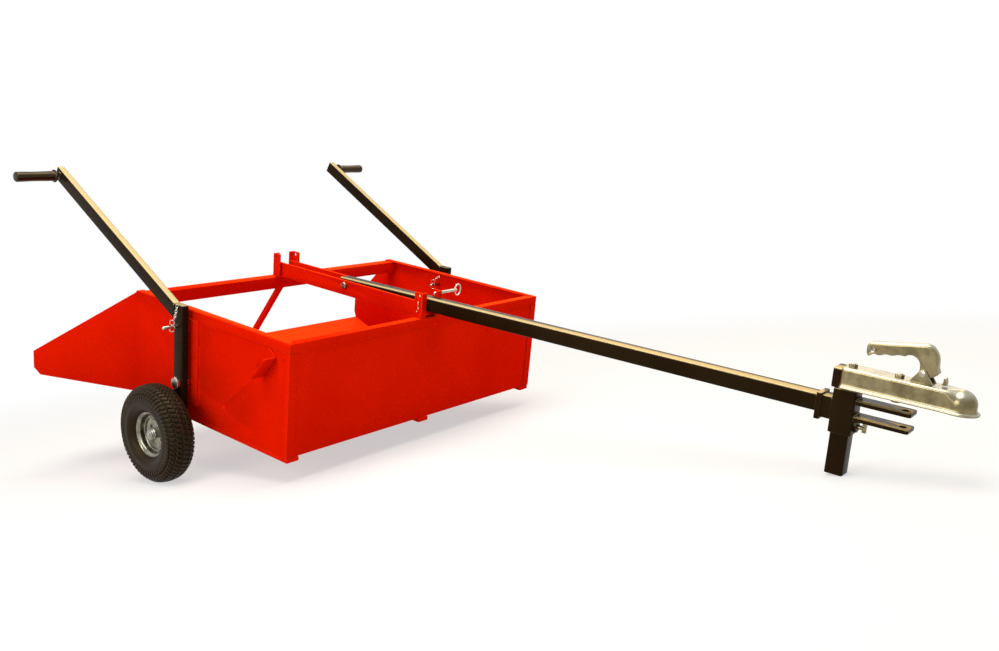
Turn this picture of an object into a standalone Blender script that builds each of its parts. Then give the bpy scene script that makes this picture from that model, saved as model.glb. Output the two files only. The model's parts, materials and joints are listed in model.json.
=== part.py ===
"""Tow-behind paddock sweeper, standing on its two wheels and its hitch post.

Everything is laid out in the machine's own frame, in metres: X across the box, Y from the
front wall back to the wings, Z up from the underside of the runners. One empty carries that
frame and pitches it, so that the wheels and the hitch post stand on the ground together.
"""

import bmesh
import bpy
from math import asin, atan, atan2, cos, hypot, pi, radians, sin, sqrt, tan
from mathutils import Vector

# Gaps
TOUCH = 0.0003            # between pieces that bear on each other
BOLT_PLAY = 0.0004        # round a bolt or pin in its hole

# Box
BOX_WIDTH = 1.040
BOX_LENGTH = 0.680
BOX_HEIGHT = 0.320
SHEET = 0.003             # all sheet metal of the box
FLOOR_LIFT = 0.012        # underside of the floor above the underside of the runners
ANGLE_LEG = 0.025         # legs of the angle iron round the top and down the corners
ANGLE_WALL = 0.003
RUNNER_WIDTH = 0.040
RUNNER_CHAMFER = 0.025
WING_FLARE = 0.150        # how far each wing tip stands out past the side wall
WING_LENGTH = 0.318
WING_TIP_TOP = 0.084
WING_TIP_CHAMFER = 0.020
CROSS_SIZE = 0.038        # square rear cross-member
CROSS_WALL = 0.003
STRUT_SIZE = 0.016
STRUT_WALL = 0.002
STRUT_HEAD_IN = 0.012     # middle of the strut's upper end, in from the rear of the box
STRUT_FOOT_OUT = 0.170    # middle of its foot, out behind the box

# Drawbar channel on top of the box
BAR_SIZE = 0.040          # square tube of the drawbar
BAR_WALL = 0.003
CHANNEL_PLAY = 0.0015     # each side of the drawbar
CHANNEL_BAR = 0.008
CHANNEL_HEIGHT = 0.045
CHANNEL_REAR_IN = 0.023   # its rear end, in from the rear of the box
EAR_ALONG = 0.030
EAR_ACROSS = 0.020
EAR_WALL = 0.005
EAR_RISE = 0.074          # above the top of the box
EAR_PIN_DOWN = 0.009      # pin axis below the ear's top
EAR_PIN_IN = 0.013        # pin axis in from the ear's outer face

# Drawbar
FOLD_Y = 0.332            # bolt that the drawbar turns about
FOLD_RISE = 0.031         # above the top of the box
FOLD_BOLT = 0.006         # radius
BAR_TAIL = 0.032          # behind the bolt
BAR_REACH = 1.482         # from the bolt to the collar
BAR_RISE = 0.0246         # metres of rise for each metre forward
COLLAR_LENGTH = 0.012
COLLAR_LIP = 0.005
SLEEVE_SIZE = 0.050
SLEEVE_WALL = 0.0045
SLEEVE_NECK = 0.022       # between collar and sleeve
SLEEVE_TOP = 0.043        # above the drawbar's centre line
SLEEVE_BOTTOM = -0.056
CLEVIS_WIDTH = 0.050
CLEVIS_BAR = 0.008
CLEVIS_REACH = 0.115
CLEVIS_UPPER = 0.024      # top faces, from the drawbar's centre line
CLEVIS_LOWER = -0.012
CLEVIS_HOLE = 0.008
CLEVIS_HOLE_IN = 0.017
BOSS_RADIUS = 0.013
BOSS_LENGTH = 0.008
CLAMP_DROP = 0.037        # screw axis below the drawbar's centre line
CLAMP_RADIUS = 0.005
CLAMP_LENGTH = 0.026
CLAMP_WING = 0.010
CLAMP_GRIP = 0.009        # width of the wings along the screw
CLAMP_WING_WALL = 0.005

# Hitch
POST_SIZE = 0.040
POST_WALL = 0.004
POST_TRAVEL = 0.080
POST_SHOW = 0.014         # left standing out below the sleeve when the post is at its highest
STUB_WIDTH = 0.049
STUB_HEIGHT = 0.045
STUB_WALL = 0.004
STUB_CORNER = 0.006
STUB_LENGTH = 0.152
STUB_BACK = 0.0055         # how far it stands out behind the sleeve
COUPLING_WALL = 0.003
COUPLING_BACK = 0.019     # coupling's rear edge in from the stub's rear end
COUPLING_LENGTH = 0.275
COUPLING_PLAY = 0.0004
COUPLING_LIP = 0.007
DOME_RADIUS = 0.031
DOME_RISE = 0.003         # above the flat top of the coupling
DOME_FADE = 0.030         # length over which the flat top swells into the dome
SKIRT_DEPTH = 0.042       # from the flat top down to the rim
COUPLING_BOLT = 0.006
BOLT_ONE = 0.014          # bolts, forward of the coupling's rear edge
BOLT_TWO = 0.111
COUPLING_BOLT_TAIL = 0.0015
NUT_FLAT = 0.0085         # inner radius of the hexagons on the coupling's bolts
NUT_THICK = 0.006
HANDLE_WIDTH = 0.023
HANDLE_ALONG = 0.158      # its pin, forward of the coupling's rear edge
HANDLE_UP = 0.020         # its pin, above the coupling's flat top
HANDLE_PIN = 0.004
HANDLE_REACH = 0.119      # behind the pin
HANDLE_HEIGHT = 0.0605     # top of the knee above the pin
HANDLE_DROP = 0.018       # how much lower the rear end of its back lies
HANDLE_DEPTH = 0.0285
HANDLE_KNEE = 0.031       # radius
HANDLE_LEG = 0.0334
HANDLE_SPUR = 0.004       # how far its lower front corner stands out
HANDLE_HOLE = 0.005
BRACKET_WALL = 0.003
BRACKET_LENGTH = 0.049
CATCH_AHEAD = 0.042       # forward of the handle's pin
CATCH_UP = 0.007          # its axis, above the coupling's flat top
CATCH_WIDTH = 0.012
CATCH_BASE = 0.010
CATCH_RISE = 0.012        # tip above its axis
CATCH_STEM = 0.005
JAW_AHEAD = 0.016
JAW_DOWN = 0.014          # its axis, below the coupling's inner top
JAW_WIDTH = 0.016
JAW_REACH = 0.036
JAW_DEPTH = 0.023
JAW_HEAD = 0.006          # half length of its pivoted end

# Levers and wheels, mirrored on both sides
PLATE_THICKNESS = 0.006
PLATE_WIDTH = 0.090
PLATE_LOW = 0.050
LEVER_GAP = 0.010         # between plate and lever
LEVER_ACROSS = 0.021
LEVER_DEPTH = 0.040
LEVER_WALL = 0.0025
LEVER_Y = 0.424
LEVER_RISE = 0.016        # knee of the lever above the top of the box
LEVER_SLOPE = radians(26.3)
LEVER_REACH = 0.668       # sloping tube, from the knee to its end
LEVER_FOLD = radians(102)
PIVOT_DROP = 0.205        # pivot bolt below the top of the box
PIVOT_BOLT = 0.008
AXLE_UNDER = 0.018        # axle below the underside of the runners
POST_TAIL = 0.020         # lever below the axle
AXLE_RADIUS = 0.008
WHEEL_RADIUS = 0.1375
WHEEL_WIDTH = 0.082
WHEEL_GAP = 0.022         # between lever and tyre
TYRE_WALL = 0.006
RIM_RADIUS = 0.063
RIM_WALL = 0.002
HUB_RADIUS = 0.0155
HUB_PLAY = 0.0005
GRIP_BAR = 0.010
GRIP_RADIUS = 0.015
GRIP_LENGTH = 0.120
GRIP_NECK = 0.014
GRIP_COLLAR = 0.019       # radius of the rim next to the lever
GRIP_RIM = 0.004
GRIP_EDGE = 0.003
GRIP_IN = 0.020           # bar's axis in from the tube's end
LOCK_DROP = 0.043         # lock pin below the top of the box
LOCK_RADIUS = 0.005
SADDLE_REACH = 0.040
SADDLE_LENGTH = 0.082
SADDLE_LEG = 0.030
SADDLE_WALL = 0.004
SADDLE_DROP = 0.001       # its highest corner, below the angle iron of the rim
SADDLE_PLAY = 0.0006
PIVOT_FLAT = 0.015        # inner radius of the hexagons on the pivot bolts
PIVOT_HEAD = 0.010
PIVOT_NUT_INSIDE = 0.008
AXLE_COLLAR = 0.012       # radius of the thick stretch between lever and hub
AXLE_FLANGE = 0.017
AXLE_CAP = 0.013
AXLE_WASHER = 0.003       # thickness of the flange and the cap
HUB_HALF = 0.022
PIN_TIP_OUT = 0.048       # near lock pin, past the lever
PIN_SHY = 0.004           # drawn pins stop this far short of the hole they lock
PIN_INSIDE = 0.045        # far lock pin, past the inside of the wall
DRAWBAR_PIN_LENGTH = 0.100
WIRE = 0.0014             # radius of the clip wire
CHAIN_WIRE = 0.0020
CHAIN_SAG = 0.001
CLIP_LEG = 0.011          # of a clip, below the pin that it holds
RING_RADIUS = 0.013       # pull ring of the drawbar's pin
RING_WIRE = 0.0020

# Sizes that follow from the ones above
HALF = BOX_WIDTH / 2
SKIN = HALF - ANGLE_WALL - TOUCH            # outer face of the side sheets
INNER = SKIN - SHEET - TOUCH                # what stands inside touches up to here
FLOOR_TOP = FLOOR_LIFT + SHEET
CROSS_TOP = BOX_HEIGHT - ANGLE_WALL - TOUCH
EAR_TOP = BOX_HEIGHT + EAR_RISE
EAR_PIN_HEIGHT = EAR_TOP - EAR_PIN_DOWN
FOLD_Z = BOX_HEIGHT + FOLD_RISE
BAR_SLOPE = atan(BAR_RISE)
SLEEVE_AT = BAR_REACH + COLLAR_LENGTH + SLEEVE_NECK + SLEEVE_SIZE / 2
POST_BOTTOM = SLEEVE_BOTTOM - POST_TRAVEL - POST_SHOW
STUB_LOW = SLEEVE_TOP + TOUCH
STUB_TOP = STUB_LOW + STUB_HEIGHT
STUB_REAR = SLEEVE_AT - SLEEVE_SIZE / 2 - STUB_BACK
COUPLING_REAR = STUB_REAR + COUPLING_BACK
COUPLING_TOP = STUB_TOP + COUPLING_PLAY + COUPLING_WALL
COUPLING_HALF = STUB_WIDTH / 2 + COUPLING_PLAY + COUPLING_WALL
LEVER_X = SKIN + TOUCH + PLATE_THICKNESS + LEVER_GAP + LEVER_ACROSS / 2
LEVER_TOP = BOX_HEIGHT + LEVER_RISE
PIVOT_Z = BOX_HEIGHT - PIVOT_DROP
LOCK_UP = PIVOT_DROP - LOCK_DROP
AXLE_DROP = PIVOT_Z + AXLE_UNDER
WHEEL_X = LEVER_X + LEVER_ACROSS / 2 + WHEEL_GAP + WHEEL_WIDTH / 2


# Building blocks

def paint(name, colour, roughness, metallic):
    material = bpy.data.materials.new(name)
    material.use_nodes = True
    surface = material.node_tree.nodes["Principled BSDF"]
    surface.inputs["Base Color"].default_value = (*colour, 1.0)
    surface.inputs["Roughness"].default_value = roughness
    surface.inputs["Metallic"].default_value = metallic
    material.diffuse_color = (*colour, 1.0)
    return material


def empty(name, parent, place=(0, 0, 0), turn=(0, 0, 0)):
    item = bpy.data.objects.new(name, None)
    bpy.context.collection.objects.link(item)
    item.parent = parent
    item.location = place
    item.rotation_euler = turn
    return item


def finish(name, bm, material, parent, place=(0, 0, 0), smooth=False):
    """Turn a bmesh into a named object that hangs on its parent."""
    bmesh.ops.recalc_face_normals(bm, faces=bm.faces)
    mesh = bpy.data.meshes.new(name)
    bm.to_mesh(mesh)
    bm.free()
    if smooth:
        mesh.shade_smooth()
        mesh.set_sharp_from_angle(angle=radians(35))
    mesh.materials.append(material)
    item = bpy.data.objects.new(name, mesh)
    bpy.context.collection.objects.link(item)
    item.parent = parent
    item.location = place
    return item


def sheet_metal(name, bm, thickness, material, parent):
    """Open surface as a sheet whose outer face it is."""
    mesh = bpy.data.meshes.new(name)
    bm.to_mesh(mesh)
    bm.free()
    mesh.materials.append(material)
    item = bpy.data.objects.new(name, mesh)
    bpy.context.collection.objects.link(item)
    item.parent = parent
    wall = item.modifiers.new("thickness", "SOLIDIFY")
    wall.thickness = thickness
    wall.offset = -1.0
    wall.use_even_offset = True
    return item


def guide(item, target, operation):
    """Join item to target, or cut it away, and hide it."""
    item.hide_render = True
    item.display_type = "WIRE"
    boolean = target.modifiers.new(item.name, "BOOLEAN")
    boolean.operation = operation
    boolean.solver = "EXACT"
    boolean.object = item


def loft(bm, rings, closed=False):
    """Skin rings of points into a solid; a closed loft runs back into its first ring."""
    rows = [[bm.verts.new(point) for point in ring] for ring in rings]
    count = len(rows[0])
    pairs = list(zip(rows, rows[1:] + rows[:1])) if closed else list(zip(rows, rows[1:]))
    for low, high in pairs:
        for i in range(count):
            j = (i + 1) % count
            bm.faces.new((low[i], low[j], high[j], high[i]))
    if not closed:
        bm.faces.new(rows[0][::-1])
        bm.faces.new(rows[-1])


def lift(point, level, axis):
    """A flat point at a level: X takes (y, z), Y takes (x, z), Z takes (x, y)."""
    a, b = point
    return {"X": (level, a, b), "Y": (a, level, b), "Z": (a, b, level)}[axis]


def prism(bm, outline, low, high, axis):
    loft(bm, [[lift(point, level, axis) for point in outline] for level in (low, high)])


def block(bm, low, high):
    outline = [(low[0], low[1]), (high[0], low[1]), (high[0], high[1]), (low[0], high[1])]
    prism(bm, outline, low[2], high[2], "Z")


def rectangle(width, height):
    a, b = width / 2, height / 2
    return [(-a, -b), (a, -b), (a, b), (-a, b)]


def pipe(bm, outer, inner, low, high, axis):
    """Straight tube between two outlines with as many points, open at both ends."""
    rings = [[lift(point, low, axis) for point in outer], [lift(point, high, axis) for point in outer],
             [lift(point, high, axis) for point in inner], [lift(point, low, axis) for point in inner]]
    loft(bm, rings, closed=True)


def rounded(width, height, radius, steps=3):
    """Rectangle with round corners."""
    points = []
    for turn, (a, b) in enumerate(((1, 1), (-1, 1), (-1, -1), (1, -1))):
        centre = (a * (width / 2 - radius), b * (height / 2 - radius))
        points += arc(radius, steps, turn * pi / 2, pi / 2, centre)
    return points


def box_tube(bm, width, height, wall, low, high, axis, corner=0.0):
    if corner:
        outer, inner = (rounded(width - 2 * w, height - 2 * w, corner - w) for w in (0.0, wall))
    else:
        outer, inner = rectangle(width, height), rectangle(width - 2 * wall, height - 2 * wall)
    pipe(bm, outer, inner, low, high, axis)


def arc(radius, count, start=0.0, sweep=2 * pi, centre=(0.0, 0.0)):
    step = sweep / count
    number = count if abs(sweep) >= 2 * pi else count + 1
    return [(centre[0] + radius * cos(start + step * i), centre[1] + radius * sin(start + step * i))
            for i in range(number)]


def hexagon(flat, count=24):
    """Hexagon of a given inner radius, with extra points along its sides."""
    points = []
    for i in range(count):
        angle = 2 * pi * i / count
        inside = (angle + pi / 6) % (pi / 3) - pi / 6
        radius = flat / cos(inside)
        points.append((radius * cos(angle), radius * sin(angle)))
    return points


def stack(bm, sections, axis):
    """Solid through sections (level, outline); two at one level make a step."""
    loft(bm, [[lift(point, level, axis) for point in outline] for level, outline in sections])


def turned(bm, profile, segments, axis="X"):
    """Spin a closed profile of (along, radius) round an axis, clear of the axis itself."""
    rings = []
    for i in range(segments):
        angle = 2 * pi * i / segments
        rings.append([lift((radius * cos(angle), radius * sin(angle)), along, axis)
                      for along, radius in profile])
    loft(bm, rings, closed=True)


def drill(name, target, parent, place, radius, low, high, axis="X"):
    """Round hole through the target, from low to high along the axis."""
    bm = bmesh.new()
    stack(bm, [(low, arc(radius, 20)), (high, arc(radius, 20))], axis)
    guide(finish(name, bm, None, parent, place), target, "DIFFERENCE")


def turn_flat(point, angle, centre=(0.0, 0.0)):
    """Turn a (y, z) point about the X axis."""
    y, z = point[0] - centre[0], point[1] - centre[1]
    return (centre[0] + y * cos(angle) - z * sin(angle), centre[1] + y * sin(angle) + z * cos(angle))


# Scoop

def front_wall(parent, red):
    bm = bmesh.new()
    back = ANGLE_WALL + TOUCH
    edge = HALF - ANGLE_WALL - TOUCH - SHEET - TOUCH
    block(bm, (-edge, back, FLOOR_LIFT), (edge, back + SHEET, BOX_HEIGHT - ANGLE_WALL - TOUCH))
    return finish("front_wall", bm, red, parent)


def side_sheet(name, side, parent, red):
    """Side wall and wing, one sheet folded at the rear of the box."""
    top = BOX_HEIGHT - ANGLE_WALL - TOUCH
    tip = BOX_LENGTH + WING_LENGTH
    bm = bmesh.new()
    front = ANGLE_WALL + TOUCH
    wall = [(front, FLOOR_LIFT), (BOX_LENGTH, FLOOR_LIFT), (BOX_LENGTH, top), (front, top)]
    wing = [(BOX_LENGTH, FLOOR_LIFT), (tip - WING_TIP_CHAMFER, FLOOR_LIFT),
            (tip, FLOOR_LIFT + WING_TIP_CHAMFER), (tip, WING_TIP_TOP), (BOX_LENGTH, top)]
    slope = WING_FLARE / WING_LENGTH

    def stand(y):
        return side * (SKIN + max(0.0, y - BOX_LENGTH) * slope)

    corners = {}
    for outline in (wall, wing):
        face = []
        for y, z in outline:
            key = (round(y, 6), round(z, 6))
            if key not in corners:
                corners[key] = bm.verts.new((stand(y), y, z))
            face.append(corners[key])
        bm.faces.new(face if side < 0 else face[::-1])
    bm.normal_update()
    outward = Vector((side, 0, 0))
    for face in bm.faces:
        if face.normal.dot(outward) < 0:
            face.normal_flip()
    return sheet_metal(name, bm, SHEET, red, parent)


def floor_plate(parent, red):
    """Floor of the box, widening between the wings up to their tips."""
    lean = atan2(WING_FLARE, WING_LENGTH)
    inset = SHEET + TOUCH
    fold = BOX_LENGTH + inset * tan(lean / 2)
    tip = BOX_LENGTH + WING_LENGTH - WING_TIP_CHAMFER
    wide = SKIN + (tip - BOX_LENGTH) * tan(lean) - inset / cos(lean)
    front = ANGLE_WALL + TOUCH + SHEET + TOUCH
    half = [(SKIN - inset, front), (SKIN - inset, fold), (wide, tip)]
    outline = half + [(-x, y) for x, y in half[::-1]]
    bm = bmesh.new()
    prism(bm, outline, FLOOR_LIFT, FLOOR_LIFT + SHEET, "Z")
    return finish("floor_plate", bm, red, parent)


def runner(name, x, parent, red):
    """Flat skid under the floor, bevelled at its rear end."""
    high = FLOOR_LIFT - TOUCH
    outline = [(0.0, 0.0), (BOX_LENGTH - RUNNER_CHAMFER, 0.0), (BOX_LENGTH, high), (0.0, high)]
    bm = bmesh.new()
    prism(bm, outline, x - RUNNER_WIDTH / 2, x + RUNNER_WIDTH / 2, "X")
    return finish(name, bm, red, parent)


def rim_section():
    """Angle iron of the rim as (inward, height), one leg down and one leg in."""
    leg, wall = ANGLE_LEG, ANGLE_WALL
    low, top = BOX_HEIGHT - leg, BOX_HEIGHT
    return [(0, low), (wall, low), (wall, top - wall), (leg, top - wall), (leg, top), (0, top)]


def front_rail(parent, red):
    """Angle iron along the front, mitred at both corners."""
    rings = [[(side * (HALF - y - TOUCH), y, z) for y, z in rim_section()] for side in (-1, 1)]
    bm = bmesh.new()
    loft(bm, rings)
    return finish("front_rail", bm, red, parent)


def side_rail(name, side, parent, red):
    rings = [[(side * (HALF - inset), inset + TOUCH, z) for inset, z in rim_section()],
             [(side * (HALF - inset), BOX_LENGTH, z) for inset, z in rim_section()]]
    bm = bmesh.new()
    loft(bm, rings)
    return finish(name, bm, red, parent)


def corner_post(name, side, parent, red):
    """Upright angle iron that the front and side sheets are welded behind."""
    leg, wall = ANGLE_LEG, ANGLE_WALL
    outline = [(0, 0), (leg, 0), (leg, wall), (wall, wall), (wall, leg), (0, leg)]
    bm = bmesh.new()
    prism(bm, [(side * (HALF - x), y) for x, y in outline], FLOOR_LIFT, BOX_HEIGHT - leg - TOUCH, "Z")
    return finish(name, bm, red, parent)


def rear_crossmember(parent, red):
    bm = bmesh.new()
    box_tube(bm, CROSS_SIZE, CROSS_SIZE, CROSS_WALL, -INNER, INNER, "X")
    middle = (0, BOX_LENGTH - CROSS_SIZE / 2, CROSS_TOP - CROSS_SIZE / 2)
    return finish("rear_crossmember", bm, red, parent, middle)


def centre_strut(parent, red):
    """Slanting tube from the cross-member down to the floor, both ends cut level."""
    low, high = FLOOR_TOP + TOUCH, CROSS_TOP - CROSS_SIZE - TOUCH
    foot, head = BOX_LENGTH + STRUT_FOOT_OUT, BOX_LENGTH - STRUT_HEAD_IN
    slant = hypot(foot - head, high - low)
    along = STRUT_SIZE * slant / (high - low)
    wall = STRUT_WALL * slant / (high - low)

    def ring(inset, z, y):
        a = STRUT_SIZE / 2 - (STRUT_WALL if inset else 0)
        b = along / 2 - (wall if inset else 0)
        return [(-a, y - b, z), (a, y - b, z), (a, y + b, z), (-a, y + b, z)]

    bm = bmesh.new()
    loft(bm, [ring(0, low, foot), ring(0, high, head), ring(1, high, head), ring(1, low, foot)], closed=True)
    return finish("centre_strut", bm, red, parent)


def channel_side(name, side, parent, red):
    """Flat bar beside the drawbar with an upright angle-iron ear welded to each end."""
    near = BAR_SIZE / 2 + CHANNEL_PLAY
    low = BOX_HEIGHT + TOUCH
    rear = BOX_LENGTH - CHANNEL_REAR_IN
    bm = bmesh.new()
    block(bm, (near, EAR_WALL / 2, low), (near + CHANNEL_BAR, rear - EAR_WALL / 2, low + CHANNEL_HEIGHT))
    flip(bm, side)
    bar = finish(name, bm, red, parent)
    for label, start, way in (("front", 0.0, 1), ("rear", rear, -1)):
        leg, wall = EAR_ACROSS, EAR_WALL
        outline = [(near, 0), (near + leg, 0), (near + leg, EAR_ALONG),
                   (near + leg - wall, EAR_ALONG), (near + leg - wall, wall), (near, wall)]
        ear = bmesh.new()
        prism(ear, [(x, start + way * y) for x, y in outline], low + TOUCH / 2, EAR_TOP, "Z")
        flip(ear, side)
        guide(finish(f"{name}_{label}_ear", ear, red, parent), bar, "UNION")
        drill(f"{name}_{label}_hole", bar, parent, (0, start + way * EAR_PIN_IN, EAR_PIN_HEIGHT),
              LOCK_RADIUS + BOLT_PLAY, side * near, side * (near + 2 * leg))
    drill(f"{name}_bolt_hole", bar, parent, (0, FOLD_Y, FOLD_Z), FOLD_BOLT + BOLT_PLAY,
          side * near / 2, side * (near + CHANNEL_BAR * 2))
    return bar


def flip(bm, side):
    """Mirror what was built on the right over to the side asked for."""
    if side < 0:
        bmesh.ops.scale(bm, vec=(-1, 1, 1), verts=bm.verts)


def lever_plate(name, side, parent, red):
    """Thick plate on the wall behind each lever, bored for the pivot bolt and the lock pin."""
    low = SKIN + TOUCH
    top = BOX_HEIGHT - ANGLE_LEG - TOUCH
    bm = bmesh.new()
    rear = LEVER_Y + PLATE_WIDTH / 2
    block(bm, (low, rear - PLATE_WIDTH, PLATE_LOW), (low + PLATE_THICKNESS, rear, top))
    flip(bm, side)
    return finish(name, bm, red, parent)


def drill_wall(name, side, item, parent, folded_too):
    """Holes of one lever's pivot bolt and lock pin in a sheet or a plate."""
    low, high = side * (SKIN - SHEET * 3), side * (SKIN + PLATE_THICKNESS * 2)
    drill(f"{name}_bolt", item, parent, (0, LEVER_Y, PIVOT_Z), PIVOT_BOLT + BOLT_PLAY, low, high)
    places = [(0.0, LOCK_UP)]
    if folded_too:
        places.append(turn_flat(places[0], LEVER_FOLD))
    for number, (y, z) in enumerate(places):
        drill(f"{name}_lock_{number}", item, parent, (0, LEVER_Y + y, PIVOT_Z + z),
              LOCK_RADIUS + BOLT_PLAY, low, high)


def rest_saddle(name, side, parent, red):
    """Short angle iron on the wall that the folded lever comes to lie on."""
    knee = turn_flat((LEVER_DEPTH / 2, LEVER_TOP - PIVOT_Z), LEVER_FOLD)
    lean = LEVER_SLOPE + LEVER_FOLD
    along = Vector((0, cos(lean), sin(lean)))
    up = Vector((0, sin(lean), -cos(lean)))
    base = Vector((0, LEVER_Y + knee[0], PIVOT_Z + knee[1])) - up * SADDLE_PLAY
    highest = BOX_HEIGHT - ANGLE_LEG - SADDLE_DROP
    end = (highest - base.z - SADDLE_LEG * up.z) / along.z
    low, wall = SKIN + TOUCH, SADDLE_WALL
    section = [(low, -wall), (low + SADDLE_REACH, -wall), (low + SADDLE_REACH, 0.0),
               (low + wall, 0.0), (low + wall, SADDLE_LEG), (low, SADDLE_LEG)]
    rings = []
    for reach in (end - SADDLE_LENGTH, end):
        middle = base + along * reach
        rings.append([middle + Vector((side * x, 0, 0)) + up * rise for x, rise in section])
    bm = bmesh.new()
    loft(bm, rings)
    return finish(name, bm, red, parent)


# Drawbar: laid out from the fold bolt, forward being -Y and the bar's centre line being Z = 0

def drawbar(axis, black):
    bm = bmesh.new()
    box_tube(bm, BAR_SIZE, BAR_SIZE, BAR_WALL, -BAR_REACH, BAR_TAIL, "Y")
    bar = finish("drawbar", bm, black, axis)
    drill("drawbar_bolt_hole", bar, axis, (0, 0, 0), FOLD_BOLT + BOLT_PLAY, -BAR_SIZE, BAR_SIZE)
    return bar


def drawbar_collar(axis, black):
    """End plate welded on the drawbar and the shorter block between it and the sleeve."""
    start = BAR_REACH + TOUCH
    end = SLEEVE_AT - SLEEVE_SIZE / 2 - TOUCH
    plate = [(x * (BAR_SIZE / 2 + COLLAR_LIP), z) for x, z in
             ((-1, -BAR_SIZE / 2 - 3 * COLLAR_LIP), (1, -BAR_SIZE / 2 - 3 * COLLAR_LIP),
              (1, BAR_SIZE / 2 + COLLAR_LIP), (-1, BAR_SIZE / 2 + COLLAR_LIP))]
    neck = [(x * BAR_SIZE / 2, z) for x, z in
            ((-1, -BAR_SIZE / 2 - 2 * COLLAR_LIP), (1, -BAR_SIZE / 2 - 2 * COLLAR_LIP),
             (1, BAR_SIZE / 2), (-1, BAR_SIZE / 2))]
    bm = bmesh.new()
    stack(bm, [(-start, plate), (-start - COLLAR_LENGTH, plate),
               (-start - COLLAR_LENGTH, neck), (-end, neck)], "Y")
    return finish("drawbar_collar", bm, black, axis)


def hitch_sleeve(axis, black):
    """Square sleeve for the hitch post, with the boss that the clamp screw runs in."""
    place = (0, -SLEEVE_AT, 0)
    bm = bmesh.new()
    box_tube(bm, SLEEVE_SIZE, SLEEVE_SIZE, SLEEVE_WALL, SLEEVE_BOTTOM, SLEEVE_TOP, "Z")
    sleeve = finish("hitch_sleeve", bm, black, axis, place)
    face = SLEEVE_SIZE / 2
    boss = bmesh.new()
    ring = arc(BOSS_RADIUS, 24)
    stack(boss, [(-face + SLEEVE_WALL / 2, ring), (-face - BOSS_LENGTH, ring)], "Y")
    middle = (0, -SLEEVE_AT, -CLAMP_DROP)
    guide(finish("hitch_sleeve_boss", boss, black, axis, middle), sleeve, "UNION")
    drill("hitch_sleeve_bore", sleeve, axis, middle, CLAMP_RADIUS + BOLT_PLAY,
          -face + SLEEVE_WALL * 2, -face - BOSS_LENGTH * 2, "Y")
    return sleeve


def clevis_bar(name, top, axis, black):
    """Flat bar on the sleeve's front, bored for a drop pin."""
    start = SLEEVE_AT + SLEEVE_SIZE / 2 + TOUCH
    end = start + CLEVIS_REACH
    half, corner = CLEVIS_WIDTH / 2, CLEVIS_BAR / 2
    outline = [(-half, -start), (-half, -end + corner), (-half + corner, -end),
               (half - corner, -end), (half, -end + corner), (half, -start)]
    bm = bmesh.new()
    prism(bm, outline, top - CLEVIS_BAR, top, "Z")
    bar = finish(name, bm, black, axis)
    drill(f"{name}_hole", bar, axis, (0, -end + CLEVIS_HOLE_IN, top), CLEVIS_HOLE,
          -CLEVIS_BAR * 2, CLEVIS_BAR, "Z")
    return bar


def clamp_screw(axis, zinc):
    """Screw that pinches the post, turned by its two wings."""
    tip = -POST_SIZE / 2 - TOUCH
    head = tip - CLAMP_LENGTH
    bm = bmesh.new()
    stack(bm, [(tip, arc(CLAMP_RADIUS, 16)), (head, arc(CLAMP_RADIUS, 16))], "Y")
    screw = finish("clamp_screw", bm, zinc, axis, smooth=True)
    wings = bmesh.new()
    block(wings, (-CLAMP_WING_WALL / 2, head - CLAMP_GRIP / 2, -CLAMP_WING),
          (CLAMP_WING_WALL / 2, head + CLAMP_GRIP / 2, CLAMP_WING))
    guide(finish("clamp_screw_wings", wings, zinc, axis), screw, "UNION")
    return screw


def drawbar_bolt(parent, zinc):
    """Bolt that the drawbar folds about, head and nut outside the two channel bars."""
    out = BAR_SIZE / 2 + CHANNEL_PLAY + CHANNEL_BAR + TOUCH
    thick = FOLD_BOLT * 1.3
    shank, nut = arc(FOLD_BOLT, 24), hexagon(FOLD_BOLT * 1.55)
    bm = bmesh.new()
    stack(bm, [(-out - thick, nut), (-out, nut), (-out, shank), (out, shank), (out, nut),
               (out + thick, nut), (out + thick, shank), (out + thick + FOLD_BOLT / 2, shank)], "X")
    return finish("drawbar_bolt", bm, zinc, parent, (0, FOLD_Y, FOLD_Z))


# Hitch: laid out from the sleeve, in the drawbar's directions

def hitch_post(axis, black):
    """Square post with the level stub on top that the coupling is bolted over."""
    bm = bmesh.new()
    box_tube(bm, POST_SIZE, POST_SIZE, POST_WALL, POST_BOTTOM, STUB_LOW + STUB_WALL / 2, "Z")
    post = finish("hitch_post", bm, black, axis)
    rear = SLEEVE_AT - STUB_REAR
    stub = bmesh.new()
    box_tube(stub, STUB_WIDTH, STUB_HEIGHT, STUB_WALL, rear - STUB_LENGTH, rear, "Y", STUB_CORNER)
    place = (0, 0, STUB_LOW + STUB_HEIGHT / 2)
    guide(finish("hitch_post_stub", stub, black, axis, place), post, "UNION")
    for number, along in enumerate((BOLT_ONE, BOLT_TWO)):
        drill(f"hitch_post_hole_{number}", post, axis, (0, SLEEVE_AT - COUPLING_REAR - along, STUB_LOW),
              COUPLING_BOLT + BOLT_PLAY, -STUB_HEIGHT / 2, STUB_HEIGHT * 2, "Z")
    return post


def coupling_profile(blend):
    """Half of the coupling's outline, rim to ridge, as (inward, height) shares of its width.

    blend runs from 0, a flat top with rounded shoulders, to 1, a round dome.
    """
    rim = -SKIRT_DEPTH
    top = DOME_RISE * blend
    half = COUPLING_HALF + (DOME_RADIUS - COUPLING_HALF) * blend
    corner = STUB_CORNER + COUPLING_PLAY
    shoulder = corner + (half - corner) * blend
    points = [(half + COUPLING_LIP, rim), (half + COUPLING_LIP * 0.3, rim + 0.001), (half, rim + 0.008)]
    rise = min(shoulder, top - rim - 0.010)
    for i in range(5):
        angle = pi / 2 * i / 4
        points.append((half - shoulder * (1 - cos(angle)), top - rise * (1 - sin(angle))))
    points.append(((half - shoulder) / 2, top))
    points.append((0.0, top))
    return points


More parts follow.
